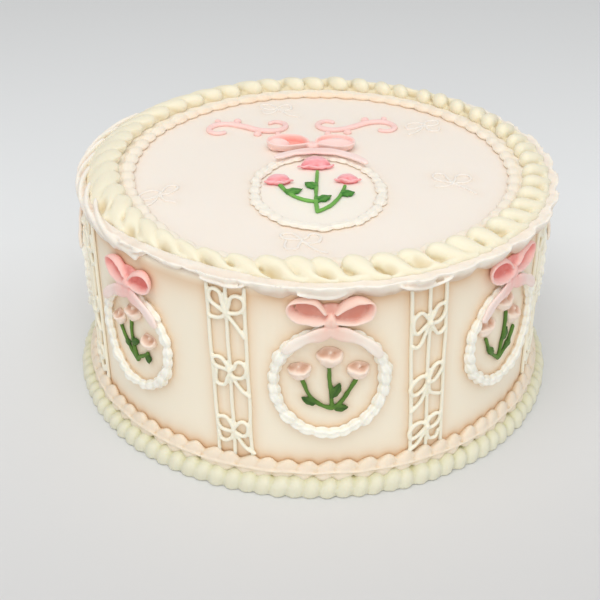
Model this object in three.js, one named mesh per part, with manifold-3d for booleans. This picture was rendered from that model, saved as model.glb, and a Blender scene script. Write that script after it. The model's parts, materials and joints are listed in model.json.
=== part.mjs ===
// A round ten inch celebration cake with vintage over-piping: a rope border and a petal ruffle
// round the top edge, a bead border round the base, and eight piped medallions with ribbon bows
// and tulip sprays on the side, between eight panels of piped strings.
// Units are millimetres and +Z is up. The origin is the centre of the base, and the front
// medallion faces -Y. Angles are measured from -Y towards +X.

import * as THREE from 'three';
import { mergeVertices } from 'three/addons/utils/BufferGeometryUtils.js';
import Module from 'manifold-3d';

// Cake
const CAKE_RADIUS = 127;
const CAKE_HEIGHT = 119.5;
const TOP_EDGE_ROUND = 2;
const CAKE_SIDES = 44;

// Air left between two pieces that touch
const TOUCH_GAP = 0.3;

// Rope border along the top edge: plump slanted strokes, wide at the inner end
const ROPE_STROKES = 58;
const ROPE_INNER_RADIUS = 109;
const ROPE_OUTER_RADIUS = 126.6;
const ROPE_HEIGHT = 9.8;
const ROPE_CREASE = 2.6;
const ROPE_SLANT = 5.2;

// Small shells on the top, against the inside of the rope
const INNER_SHELLS = 64;
const INNER_SHELL_RADIUS = 103.6;
const INNER_SHELL_HEIGHT = 5;

// Petal ruffle that hangs over the top edge
const RUFFLE_PETALS = 36;
const RUFFLE_ROOT_RADIUS = 127.4;
const RUFFLE_LIP_RADIUS = 134.2;
const RUFFLE_LIP_HEIGHT = 117.2;
const RUFFLE_TOP_HEIGHT = 124.6;

// Bead border on the floor and the small shells above it
const BEADS = 102;
const BEAD_OUTER_RADIUS = 138.4;
const BEAD_HEIGHT = 10.4;
const BASE_SHELLS = 80;
const BASE_SHELL_RADIUS = 133.4;
const BASE_SHELL_LOW = 9.6;
const BASE_SHELL_HIGH = 17.2;

// Medallions: an oval ring of shells, a ribbon bow above it and a tulip spray inside it. Each one
// on the side has its own angle, height and scale, because they were piped by eye
const MEDALLIONS = [
  { degrees: 0, height: 65.5, scale: 1 },
  { degrees: 46, height: 66.4, scale: 1 },
  { degrees: 90, height: 65.9, scale: 0.97 },
  { degrees: 134, height: 66.3, scale: 0.99 },
  { degrees: 178, height: 65.2, scale: 0.98 },
  { degrees: 222, height: 66.1, scale: 0.96 },
  { degrees: 266, height: 65.6, scale: 0.99 },
  { degrees: 310, height: 65, scale: 0.94 },
];
const MEDALLION_HALF_WIDTH = 26.6;
const MEDALLION_HALF_HEIGHT = 29.2;
const TOP_MEDALLION_Y = -26.5;
const TOP_MEDALLION_HALF_WIDTH = 34;
const TOP_MEDALLION_HALF_HEIGHT = 40.7;
const TOP_BOW_SCALE = 1.32;
const WREATH_SHELLS = 16;
const WREATH_WIDTH = 6.6;
const WREATH_RISE = 3.6;
const WREATH_CREASE = 0.72;

// Ribbon bows
const BOW_ABOVE_WREATH = 7.6;
const BOW_LOOP_OUTLINE = [[3.4, -1], [13, -0.8], [19.4, 3.2], [18.8, 9.6], [12.6, 12.4], [0, 3.2]];
const BOW_LOOP_EYE = [[5.4, 2], [12.8, 1.2], [17.4, 4.4], [16.6, 8.6], [11.8, 10.2]];
const BOW_LOOP_RISE = 4.4;
const BOW_KNOT_DEPTH = 1.5;
const BOW_CENTRE_DROP = 3.6;
const BOW_TAIL_WIDTH = 4.6;
const BOW_TAIL_THICKNESS = 1.4;
const BOW_TAIL_SPREAD = 3;
const BOW_TAIL_TURNS = [16, 37, 58];

// Tulip sprays: stops of each stem from the shared root, the two ends of each leaf, and the foot
// and width of each tulip, all from the medallion's centre
const SIDE_SPRAY = {
  stems: [
    [[1.2, -16.5], [0, 12]],
    [[1.2, -16.5], [-8.5, -9.5], [-13.4, 3.4]],
    [[1.2, -16.5], [8.6, -9.5], [13.2, 3.2]],
  ],
  leaves: [
    [[0.4, -8], [5.4, 0.8]],
    [[-4.5, -13], [-14.2, -8.4]],
    [[0.5, -16], [10.4, -16]],
  ],
  tulips: [[0, 8.6, 12.6], [-13.8, 0, 11.6], [13.4, -0.2, 11.8]],
};
const TOP_SPRAY = {
  stems: [
    [[-2, -24], [0.9, 25]],
    [[-1, -13], [-10.6, -7.5], [-19.6, 9.5]],
    [[-2, -24], [8.5, -12.5], [15, 7]],
  ],
  leaves: [
    [[0, 5], [-6.4, 11]],
    [[-0.6, -12], [7.4, -5.4]],
    [[-17.2, -2.6], [-7.4, 1.8]],
    [[12.2, -4], [20.4, -2.8]],
  ],
  tulips: [[0.8, 21.6, 18.4], [-20, 6.4, 15], [15.4, 4, 13.4]],
};
const STEM_WIDTH = 2.2;
const STEM_RISE = 1.9;
const LEAF_RISE = 2.2;
const TULIP_LENGTH = 10.6;
const TULIP_RISE = 5.6;

// String panels: three hanging strings crossed by three small string bows
const PANEL_ANGLES = [22.6, 68, 112, 156, 200, 244, 288, 338.5];
const STRING_PITCH = 9.3;
const STRING_LOW = 17.8;
const STRING_HIGH = 116.2;
const STRING_WIDTH = 2;
const STRING_RISE = 1.9;
const STRING_BOW_HEIGHTS = [29.5, 63.5, 98];
const STRING_BOW_REACH = 9.3;
const STRING_BOW_RISE = 8.4;
const STRING_BOW_WAIST = 1.4;

// Small string bows on the top: radius and angle of each
const TOP_BOWS = [[88.5, -72], [82.5, -8], [76.8, 74], [90.7, 130], [88.8, -168]];

// Two lying scrolls piped behind the top medallion: centre, heading in degrees and hand of each
const SCROLLS = [{ x: -37, y: 57, heading: -34, hand: 1 }, { x: 28, y: 57, heading: 34, hand: -1 }];
const SCROLL_HALF_LENGTH = 38;
const SCROLL_CURL = 270;
const SCROLL_WIDTH = 3.2;
const SCROLL_RISE = 2.4;
const SCROLL_STEPS = 6;

const FULL_TURN = 2 * Math.PI;
const radians = THREE.MathUtils.degToRad;

const wasm = await Module();
wasm.setup();

// Shape helpers

/** Small repeatable random numbers between -1 and 1. */
function unevenness(seed) {
  let state = seed;
  return () => {
    state = (state * 1664525 + 1013904223) % 4294967296;
    return 2 * state / 4294967296 - 1;
  };
}

/** Geometry from points and triangles, with its faces turned outwards. */
function solidGeometry(points, triangles) {
  let volume = 0;
  for (const [a, b, c] of triangles) {
    volume += points[a].dot(points[b].clone().cross(points[c]));
  }
  const outward = volume < 0 ? triangles.map(([a, b, c]) => [a, c, b]) : triangles;
  const numbers = points.flatMap((point) => point.toArray());
  const geometry = new THREE.BufferGeometry();
  geometry.setAttribute('position', new THREE.Float32BufferAttribute(numbers, 3));
  geometry.setIndex(outward.flat());
  return geometry;
}

/** Joins outlines of equal length into one solid, as a closed ring or with flat ends. */
function stitch(outlines, isRing) {
  const sides = outlines[0].length;
  const triangles = [];
  const spans = isRing ? outlines.length : outlines.length - 1;
  for (let span = 0; span < spans; span++) {
    const here = span * sides;
    const next = ((span + 1) % outlines.length) * sides;
    for (let side = 0; side < sides; side++) {
      const other = (side + 1) % sides;
      triangles.push([here + side, next + side, next + other]);
      triangles.push([here + side, next + other, here + other]);
    }
  }
  if (!isRing) {
    const last = (outlines.length - 1) * sides;
    for (let side = 1; side < sides - 1; side++) {
      triangles.push([0, side, side + 1]);
      triangles.push([last, last + side + 1, last + side]);
    }
  }
  return solidGeometry(outlines.flat(), triangles);
}

/** A point at an angle in radians from -Y towards +X. */
function aroundAxis(angle, radius, height) {
  return new THREE.Vector3(radius * Math.sin(angle), -radius * Math.cos(angle), height);
}

/** Placer that wraps flat piping (right, up, out) onto the cake's side. */
function onSide(degrees, height) {
  const middle = radians(degrees);
  return (right, up, out) => aroundAxis(middle + right / CAKE_RADIUS, CAKE_RADIUS + out, height + up);
}

/** Placer that lays flat piping (right, up, out) on the cake's top. */
function onTop(x, y) {
  return (right, up, out) => new THREE.Vector3(x + right, y + up, CAKE_HEIGHT + out);
}

/** Pipes a stroke along a flat path; outline(i) lists its [across, out] points at each stop. */
function pipe(place, path, outline, isRing = false) {
  const count = path.length;
  const outlines = path.map((stop, i) => {
    const before = isRing ? path[(i + count - 1) % count] : path[Math.max(i - 1, 0)];
    const after = isRing ? path[(i + 1) % count] : path[Math.min(i + 1, count - 1)];
    const along = after.clone().sub(before).normalize();
    return outline(i).map(([across, out]) => (
      place(stop.x - along.y * across, stop.y + along.x * across, out)));
  });
  return stitch(outlines, isRing);
}

/** Three-cornered section of a round string that lies on the icing. */
function ridge(width, rise) {
  return [[-width / 2, TOUCH_GAP], [0, TOUCH_GAP + rise], [width / 2, TOUCH_GAP]];
}

/**
 * A flat piece with matching halves. The right half is an outline from the bottom to the top of
 * the middle line, with holes beside it; lift(stop) is the piece's [foot, top] off the icing.
 */
function symmetricPiece(place, outline, holes, lift) {
  const counterclockwise = THREE.ShapeUtils.isClockWise(outline) ? [...outline].reverse() : outline;
  const clockwise = holes.map((hole) => (THREE.ShapeUtils.isClockWise(hole) ? hole : [...hole].reverse()));
  const contours = [counterclockwise, ...clockwise];
  const stops = contours.flat();
  const flipped = stops.map(({ x, y }) => new THREE.Vector2(-x, y));
  const points = [...stops, ...flipped].flatMap((stop) => (
    lift(stop).map((out) => place(stop.x, stop.y, out))));
  const triangles = [];
  for (const [a, b, c] of THREE.ShapeUtils.triangulateShape(counterclockwise, clockwise)) {
    triangles.push([2 * a + 1, 2 * b + 1, 2 * c + 1], [2 * a, 2 * c, 2 * b]);
  }
  let first = 0;
  for (const contour of contours) {
    contour.forEach((stop, i) => {
      const following = (i + 1) % contour.length;
      const here = 2 * (first + i);
      const next = 2 * (first + following);
      if (stop.x !== 0 || contour[following].x !== 0) {
        triangles.push([here, next, next + 1], [here, next + 1, here + 1]);
      }
    });
    first += contour.length;
  }
  const otherHalf = (i) => (stops[Math.floor(i / 2)].x === 0 ? i : i + 2 * stops.length);
  const mirrored = triangles.map(([a, b, c]) => [otherHalf(a), otherHalf(c), otherHalf(b)]);
  return solidGeometry(points, [...triangles, ...mirrored]);
}

/** Joins touching solids into one. */
function join(geometries) {
  const solids = geometries.map((geometry) => new wasm.Manifold(new wasm.Mesh({
    numProp: 3,
    vertProperties: new Float32Array(geometry.getAttribute('position').array),
    triVerts: new Uint32Array(geometry.getIndex().array),
  })));
  const joined = solids.reduce((sum, solid) => sum.add(solid)).getMesh();
  const geometry = new THREE.BufferGeometry();
  geometry.setAttribute('position', new THREE.Float32BufferAttribute(joined.vertProperties, joined.numProp));
  geometry.setIndex([...joined.triVerts]);
  return mergeVertices(geometry);
}

// Cake and borders

function cakeBody() {
  const profile = [
    new THREE.Vector2(0, 0),
    new THREE.Vector2(CAKE_RADIUS, 0),
    new THREE.Vector2(CAKE_RADIUS, CAKE_HEIGHT - TOP_EDGE_ROUND),
    new THREE.Vector2(CAKE_RADIUS - TOP_EDGE_ROUND, CAKE_HEIGHT),
    new THREE.Vector2(0, CAKE_HEIGHT),
  ];
  const geometry = new THREE.LatheGeometry(profile, CAKE_SIDES);
  geometry.rotateX(Math.PI / 2);
  geometry.deleteAttribute('normal');
  geometry.deleteAttribute('uv');
  return mergeVertices(geometry);
}

/** A ring of strokes: each stop's outline is [radius, height, turn in degrees] points. */
function border(strokes, stopsPerStroke, outline) {
  const outlines = [];
  for (let i = 0; i < strokes * stopsPerStroke; i++) {
    const angle = FULL_TURN * i / (strokes * stopsPerStroke);
    const points = outline(i % stopsPerStroke, Math.floor(i / stopsPerStroke));
    outlines.push(points.map(([radius, height, turn]) => aroundAxis(angle + radians(turn), radius, height)));
  }
  return stitch(outlines, true);
}

function topRopeBorder() {
  const uneven = unevenness(11);
  const sizes = Array.from({ length: ROPE_STROKES }, () => 0.35 * uneven());
  const foot = CAKE_HEIGHT + TOUCH_GAP;
  return border(ROPE_STROKES, 3, (stop, stroke) => {
    const dip = stop === 0 ? ROPE_CREASE : sizes[stroke];
    const crest = foot + ROPE_HEIGHT - dip;
    return [
      [ROPE_INNER_RADIUS + 0.3 * dip, foot, 0],
      [ROPE_INNER_RADIUS + 1.6 + 0.6 * dip, crest - 1.6, 0.25 * ROPE_SLANT],
      [ROPE_INNER_RADIUS + 5.6, crest, 0.45 * ROPE_SLANT],
      [ROPE_OUTER_RADIUS - 3.8, crest - 2.4, 0.85 * ROPE_SLANT],
      [ROPE_OUTER_RADIUS - 0.4 * dip, foot + 1.2, ROPE_SLANT],
    ];
  });
}

function topInnerShells() {
  const foot = CAKE_HEIGHT + TOUCH_GAP;
  const outer = ROPE_INNER_RADIUS - TOUCH_GAP - 0.2;
  return border(INNER_SHELLS, 2, (stop) => {
    const dip = stop === 0 ? 1.3 : 0;
    return [
      [INNER_SHELL_RADIUS + 0.7 * dip, foot, 0],
      [INNER_SHELL_RADIUS + 2.2, foot + INNER_SHELL_HEIGHT - dip, 1],
      [outer, foot, 1.4],
    ];
  });
}

/** Each petal swings out and down, then ends against the next one's tucked-in start. */
function topRuffle() {
  const tuck = [0.25, 0, 0.2, 1];
  const uneven = unevenness(23);
  const drops = Array.from({ length: RUFFLE_PETALS }, () => 0.8 * uneven());
  return border(RUFFLE_PETALS, tuck.length, (stop, petal) => {
    const lip = RUFFLE_LIP_RADIUS - 4 * tuck[stop];
    const low = RUFFLE_LIP_HEIGHT + drops[petal] + 3 * tuck[stop];
    return [
      [RUFFLE_ROOT_RADIUS, RUFFLE_LIP_HEIGHT - 0.4 + 0.6 * tuck[stop], 0],
      [lip, low, 0],
      [RUFFLE_ROOT_RADIUS + 0.8, RUFFLE_TOP_HEIGHT, 0],
    ];
  });
}

function baseBeadBorder() {
  const uneven = unevenness(37);
  const sizes = Array.from({ length: BEADS }, () => 0.3 * uneven());
  return border(BEADS, 2, (stop, bead) => {
    const dip = stop === 0 ? 1.5 : sizes[bead];
    return [
      [CAKE_RADIUS + TOUCH_GAP + 0.1, 0, 0],
      [BEAD_OUTER_RADIUS - 0.4 - dip, 0, 1.4],
      [BEAD_OUTER_RADIUS - 1.8 - dip, BEAD_HEIGHT - 0.9 * dip, 0.7],
      [CAKE_RADIUS + TOUCH_GAP + 0.1, BASE_SHELL_LOW - TOUCH_GAP - 0.9, 0],
    ];
  });
}

function baseShells() {
  return border(BASE_SHELLS, 2, (stop) => {
    const dip = stop === 0 ? 1.6 : 0;
    return [
      [CAKE_RADIUS + TOUCH_GAP + 0.1, BASE_SHELL_LOW, 0],
      [BASE_SHELL_RADIUS - dip, BASE_SHELL_LOW + 2.6, 1],
      [CAKE_RADIUS + TOUCH_GAP + 0.9, BASE_SHELL_HIGH - dip, 0.5],
    ];
  });
}

// Medallions

function wreath(place, halfWidth, halfHeight) {
  const path = Array.from({ length: 2 * WREATH_SHELLS }, (_, i) => {
    const turn = FULL_TURN * i / (2 * WREATH_SHELLS);
    return new THREE.Vector2(halfWidth * Math.sin(turn), halfHeight * Math.cos(turn));
  });
  return pipe(place, path, (i) => {
    const swell = i % 2 ? 1 : WREATH_CREASE;
    return ridge(WREATH_WIDTH * swell, WREATH_RISE * swell);
  }, true);
}

/** Two open loops on the icing, and two tails that drape over the wreath from the knot. */
function ribbonBow(place, halfWidth, halfHeight, scale) {
  const knotHeight = halfHeight + scale * BOW_ABOVE_WREATH;
  const tailStop = (turn, spread) => new THREE.Vector2(
    (halfWidth + spread) * Math.sin(radians(turn)),
    (halfHeight + spread) * Math.cos(radians(turn)),
  );
  const lowEdge = BOW_TAIL_TURNS.map((turn) => tailStop(turn, BOW_TAIL_SPREAD - BOW_TAIL_WIDTH / 2));
  const highEdge = BOW_TAIL_TURNS.map((turn) => tailStop(turn, BOW_TAIL_SPREAD + BOW_TAIL_WIDTH / 2));
  const fromKnot = ([x, y]) => new THREE.Vector2(scale * x, knotHeight + scale * y);
  const loop = BOW_LOOP_OUTLINE.map(fromKnot);
  const eye = BOW_LOOP_EYE.map(fromKnot);
  const bottom = fromKnot([0, -BOW_CENTRE_DROP]);
  const outline = [bottom, ...lowEdge, ...highEdge.reverse(), ...loop];
  const onWreath = WREATH_RISE + 2 * TOUCH_GAP;
  const lift = (stop) => (stop.y < knotHeight - BOW_KNOT_DEPTH
    ? [onWreath, onWreath + BOW_TAIL_THICKNESS]
    : [TOUCH_GAP, TOUCH_GAP + BOW_LOOP_RISE]);
  return symmetricPiece(place, outline, [eye], lift);
}

/** Three green stems with leaves and a pink tulip on each. */
function tulipSpray(place, { stems, leaves, tulips }) {
  const stop = ([x, y]) => new THREE.Vector2(x, y);
  return join([
    ...stems.map((stops) => pipe(place, stops.map(stop), () => ridge(STEM_WIDTH, STEM_RISE))),
    ...leaves.map(([from, to]) => leaf(place, stop(from), stop(to))),
    ...tulips.map(([x, y, width]) => tulipCup(place, new THREE.Vector2(x, y), width)),
  ]);
}

function leaf(place, from, to) {
  const middle = from.clone().lerp(to, 0.55);
  const across = to.clone().sub(from).rotateAround(new THREE.Vector2(), Math.PI / 2).multiplyScalar(0.24);
  const corners = [from, middle.clone().add(across), to, middle.clone().sub(across)];
  const points = corners.map((corner) => place(corner.x, corner.y, TOUCH_GAP));
  points.push(place(middle.x, middle.y, LEAF_RISE));
  return solidGeometry(points, [[0, 1, 4], [1, 2, 4], [2, 3, 4], [3, 0, 4], [0, 2, 1], [0, 3, 2]]);
}

/** A cup that swells from a pointed foot and closes a little at its rim. */
function tulipCup(place, foot, wide) {
  const slice = (along, width, rise) => [[-0.5, 0], [-0.3, rise], [0.3, rise], [0.5, 0]].map(
    ([across, out]) => place(foot.x + across * width, foot.y + along * TULIP_LENGTH, TOUCH_GAP + out),
  );
  const points = [
    place(foot.x, foot.y, TOUCH_GAP + 0.3 * TULIP_RISE),
    ...slice(0.5, wide, TULIP_RISE),
    ...slice(1, 0.86 * wide, 0.8 * TULIP_RISE),
  ];
  const triangles = [[5, 6, 7], [5, 7, 8]];
  for (let i = 0; i < 4; i++) {
    const here = 1 + i;
    const next = 1 + (i + 1) % 4;
    triangles.push([0, next, here], [here, next, next + 4], [here, next + 4, here + 4]);
  }
  return solidGeometry(points, triangles);
}

// String work

/** Three hanging strings, crossed by bows whose open loops reach the outer strings. */
function stringPanel(place) {
  const edge = STRING_WIDTH / 2;
  const side = STRING_PITCH - edge;
  const outside = STRING_PITCH + edge;
  const first = STRING_BOW_HEIGHTS[0];
  const last = STRING_BOW_HEIGHTS.at(-1);
  const outline = [
    [0, STRING_LOW], [edge, STRING_LOW], [edge, first - STRING_BOW_WAIST], [side, first - STRING_BOW_WAIST],
    [side, STRING_LOW], [outside, STRING_LOW], [outside, STRING_HIGH], [side, STRING_HIGH],
    [side, last + STRING_BOW_RISE], [edge, last + STRING_BOW_WAIST], [edge, STRING_HIGH],
    [0, STRING_HIGH],
  ].map(([x, y]) => new THREE.Vector2(x, y));
  const holes = [];
  STRING_BOW_HEIGHTS.forEach((height, i) => {
    holes.push(stringBowEye(height));
    const above = STRING_BOW_HEIGHTS[i + 1];
    if (above !== undefined) {
      holes.push([
        new THREE.Vector2(edge, height + STRING_BOW_WAIST),
        new THREE.Vector2(side, height + STRING_BOW_RISE),
        new THREE.Vector2(side, above - STRING_BOW_WAIST),
        new THREE.Vector2(edge, above - STRING_BOW_WAIST),
      ]);
    }
  });
  return symmetricPiece(place, outline, holes, stringLift);
}

/** The opening inside the right-hand loop of a string bow. */
function stringBowEye(height) {
  const left = 0.36 * STRING_BOW_REACH;
  const right = STRING_BOW_REACH - STRING_WIDTH;
  return [
    new THREE.Vector2(left, height + 1),
    new THREE.Vector2(right, height + 0.9),
    new THREE.Vector2(right, height + STRING_BOW_RISE - 2.6),
  ];
}

function stringLift() {
  return [TOUCH_GAP, TOUCH_GAP + STRING_RISE];
}

/** A bow on the top: two open loops and two tails. */
function topStringBow([radius, degrees]) {
  const outline = [
    [0, -STRING_BOW_WAIST], [5, -7.5], [6.6, -6.4], [2.2, -0.9], [STRING_BOW_REACH - 0.8, -1],
    [STRING_BOW_REACH, STRING_BOW_RISE - 1.6], [STRING_BOW_REACH - 3.4, STRING_BOW_RISE],
    [0, STRING_BOW_WAIST],
  ].map(([x, y]) => new THREE.Vector2(x, y));
  const centre = aroundAxis(radians(degrees), radius, 0);
  return symmetricPiece(onTop(centre.x, centre.y), outline, [stringBowEye(0)], stringLift);
}

/** A lying scroll, whose curve tightens evenly towards both ends. */
function topScroll({ x, y, heading, hand }) {
  const arm = (end) => {
    const stops = [new THREE.Vector2()];
    for (let i = 0; i < SCROLL_STEPS; i++) {
      const turn = heading + hand * SCROLL_CURL * ((i + 0.5) / SCROLL_STEPS) ** 2;
      const step = new THREE.Vector2(end * SCROLL_HALF_LENGTH / SCROLL_STEPS, 0);
      stops.push(stops.at(-1).clone().add(step.rotateAround(new THREE.Vector2(), radians(turn))));
    }
    return stops.slice(1);
  };
  const path = [...arm(-1).reverse(), new THREE.Vector2(), ...arm(1)];
  return pipe(onTop(x, y), path, () => ridge(SCROLL_WIDTH, SCROLL_RISE));
}

// Icing colours
const icing = (color, roughness = 0.55) => (
  new THREE.MeshStandardMaterial({ color, roughness, metalness: 0 }));
const COAT = icing(0xf5e9dc, 0.6);
const IVORY = icing(0xf6eed3);
const WHITE = icing(0xf7f1ec);
const BLUSH = icing(0xf6dccb);
const STRING_CREAM = icing(0xf5ecd6);
const WREATH_WHITE = icing(0xfbf4e8);
const PINK = icing(0xf3b5ab);
const GREEN = icing(0x5f8f3a);

const cake = new THREE.Group();

function add(name, geometry, material) {
  const mesh = new THREE.Mesh(geometry, material);
  mesh.name = name;
  cake.add(mesh);
}

function addMedallion(suffix, place, halfWidth, halfHeight, bowScale, spray) {
  add(`wreath_${suffix}`, wreath(place, halfWidth, halfHeight), WREATH_WHITE);
  add(`ribbon_bow_${suffix}`, ribbonBow(place, halfWidth, halfHeight, bowScale), PINK);
  add(`tulip_spray_${suffix}`, tulipSpray(place, spray), GREEN);
}

add('cake_body', cakeBody(), COAT);
add('top_rope_border', topRopeBorder(), IVORY);
add('top_inner_shells', topInnerShells(), BLUSH);
add('top_ruffle', topRuffle(), WHITE);
add('base_bead_border', baseBeadBorder(), IVORY);
add('base_shells', baseShells(), BLUSH);

MEDALLIONS.forEach(({ degrees, height, scale }, i) => {
  const halfWidth = scale * MEDALLION_HALF_WIDTH;
  const halfHeight = scale * MEDALLION_HALF_HEIGHT;
  addMedallion(`side_${i + 1}`, onSide(degrees, height), halfWidth, halfHeight, scale, SIDE_SPRAY);
});
PANEL_ANGLES.forEach((degrees, i) => {
  add(`string_panel_${i + 1}`, stringPanel(onSide(degrees, 0)), STRING_CREAM);
});

addMedallion(
  'top',
  onTop(0, TOP_MEDALLION_Y),
  TOP_MEDALLION_HALF_WIDTH,
  TOP_MEDALLION_HALF_HEIGHT,
  TOP_BOW_SCALE,
  TOP_SPRAY,
);
TOP_BOWS.forEach((spot, i) => add(`top_string_bow_${i + 1}`, topStringBow(spot), STRING_CREAM));
SCROLLS.forEach((scroll, i) => add(`top_scroll_${i + 1}`, topScroll(scroll), PINK));

export default cake;
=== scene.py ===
"""A round ten inch celebration cake with vintage over-piping, in buttercream.

Every piece is built in millimetres and scaled to metres when it is finished. Flat piping is shaped
in local coordinates, x to the right, y up and z out of the icing, and then laid on the cake's side
or top by a placer. Angles round the cake are in degrees from the front (-Y) towards +X.
"""

import json
import logging
import math
import random
from collections.abc import Callable, Sequence
from dataclasses import dataclass, field
from enum import Enum

import bmesh
import bpy
from bmesh.types import BMEdge, BMVert
import numpy as np
from mathutils import Matrix, Vector, kdtree, noise

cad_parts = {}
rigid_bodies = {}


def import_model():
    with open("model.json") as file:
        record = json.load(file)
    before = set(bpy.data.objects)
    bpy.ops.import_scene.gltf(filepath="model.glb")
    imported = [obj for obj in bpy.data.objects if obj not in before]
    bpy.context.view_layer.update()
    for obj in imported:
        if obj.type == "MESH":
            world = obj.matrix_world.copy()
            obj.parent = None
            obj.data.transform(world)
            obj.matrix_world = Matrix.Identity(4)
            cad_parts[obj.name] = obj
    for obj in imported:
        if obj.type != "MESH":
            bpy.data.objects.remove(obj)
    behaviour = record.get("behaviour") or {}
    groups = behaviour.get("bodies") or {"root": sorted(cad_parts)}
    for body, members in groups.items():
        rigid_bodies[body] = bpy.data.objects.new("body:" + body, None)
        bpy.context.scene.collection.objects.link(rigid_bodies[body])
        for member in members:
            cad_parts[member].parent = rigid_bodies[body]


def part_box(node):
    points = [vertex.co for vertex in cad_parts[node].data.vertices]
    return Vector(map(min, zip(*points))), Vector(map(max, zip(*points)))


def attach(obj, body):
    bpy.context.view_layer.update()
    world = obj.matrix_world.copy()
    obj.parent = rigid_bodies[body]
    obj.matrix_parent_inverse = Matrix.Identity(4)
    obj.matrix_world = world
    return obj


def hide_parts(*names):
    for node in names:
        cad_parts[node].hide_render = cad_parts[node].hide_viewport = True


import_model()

logging.basicConfig(level=logging.INFO, format="%(message)s")
log = logging.getLogger("cake")

MM = 0.001
FULL_TURN = 2 * math.pi
# Name of the point attribute that holds painted shade: 1 for full shade in creases and under
# piping, below 0 for painted paler spots.
PAINTED_SHADE = "crease"
NOISE_SEED = 1
TUBE_RIDGES = 6
FRONT_HALF_WIDTH = 27.2

Colour = tuple[float, float, float]
Levels = tuple[int, int, int]
Flat = tuple[float, float]


def linear(red: int, green: int, blue: int) -> Colour:
    """Linear light of an sRGB colour.

    Args:
        red, green, blue: levels from 0 to 255.

    Returns:
        The same colour as three shares of full light.
    """
    def level(value: int) -> float:
        """Linear share of one sRGB level."""
        share = value / 255
        return share / 12.92 if share <= 0.04045 else ((share + 0.055) / 1.055) ** 2.4

    return level(red), level(green), level(blue)


def smooth(share: float) -> float:
    """Eases a share from 0 to 1, flat at both ends."""
    share = min(max(share, 0.0), 1.0)
    return share * share * (3 - 2 * share)


def mix(low: float, high: float, share: float) -> float:
    """Value between low and high at a share of the way."""
    return low + (high - low) * share


def bearing(place: Vector) -> float:
    """Angle of a place round the cake, in degrees from the front towards the right."""
    return math.degrees(math.atan2(place.x, -place.y))


def drawn_in(degrees: float) -> float:
    """How far the piping on the top edge is drawn in, from 0 to 1: most just left of the front."""
    return smooth(1 - abs((degrees + 180) % 360 - 180 + 34) / 36)


def search_tree(places: Sequence[Vector]) -> kdtree.KDTree:
    """Tree that finds the nearest of some places."""
    tree = kdtree.KDTree(len(places))
    for i, place in enumerate(places):
        tree.insert(place, i)
    tree.balance()
    return tree


class Shader:
    """Adds and links the nodes of one material."""

    def __init__(self, name: str) -> None:
        """Starts a material with its Principled shader.

        Args:
            name: the material's name.
        """
        self.material = bpy.data.materials.new(name)
        self.material.use_nodes = True
        self.tree = self.material.node_tree
        self.surface = self.tree.nodes["Principled BSDF"]

    def add(self, kind: str, settings: dict | None = None, **sockets: object) -> bpy.types.Node:
        """Adds a node.

        Args:
            kind: the node's type without its "ShaderNode" prefix.
            settings: properties of the node.
            sockets: values or linked outputs for its inputs, with _ for each space in their names.

        Returns:
            The node.
        """
        node = self.tree.nodes.new("ShaderNode" + kind)
        for key, value in (settings or {}).items():
            setattr(node, key, value)
        for key, value in sockets.items():
            self.feed(node, key.replace("_", " "), value)
        return node

    def feed(self, node: bpy.types.Node, name: str, value: object) -> None:
        """Links an output to a node's input, or sets its value."""
        socket = next(s for s in node.inputs if s.name == name and s.enabled)
        if isinstance(value, bpy.types.NodeSocket):
            self.tree.links.new(value, socket)
        else:
            socket.default_value = value

    def blend(self, share: object, low: object, high: object) -> bpy.types.NodeSocket:
        """Mixes two colours.

        Args:
            share: how much of the second colour shows.
            low, high: colours or colour outputs.

        Returns:
            The mixed colour's output.
        """
        def full(colour: object) -> object:
            """Adds the alpha to a plain colour."""
            return (*colour, 1.0) if isinstance(colour, tuple) else colour

        node = self.add("Mix", {"data_type": "RGBA"}, Factor=share, A=full(low), B=full(high))
        return next(s for s in node.outputs if s.enabled)

    def spread(self, value: bpy.types.NodeSocket, low: float, high: float, to_low: float = 0.0,
               to_high: float = 1.0) -> bpy.types.NodeSocket:
        """Maps low..high of a value to another range, with its ends held."""
        node = self.add("MapRange", Value=value, From_Min=low, From_Max=high, To_Min=to_low,
                        To_Max=to_high)
        return node.outputs["Result"]


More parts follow.
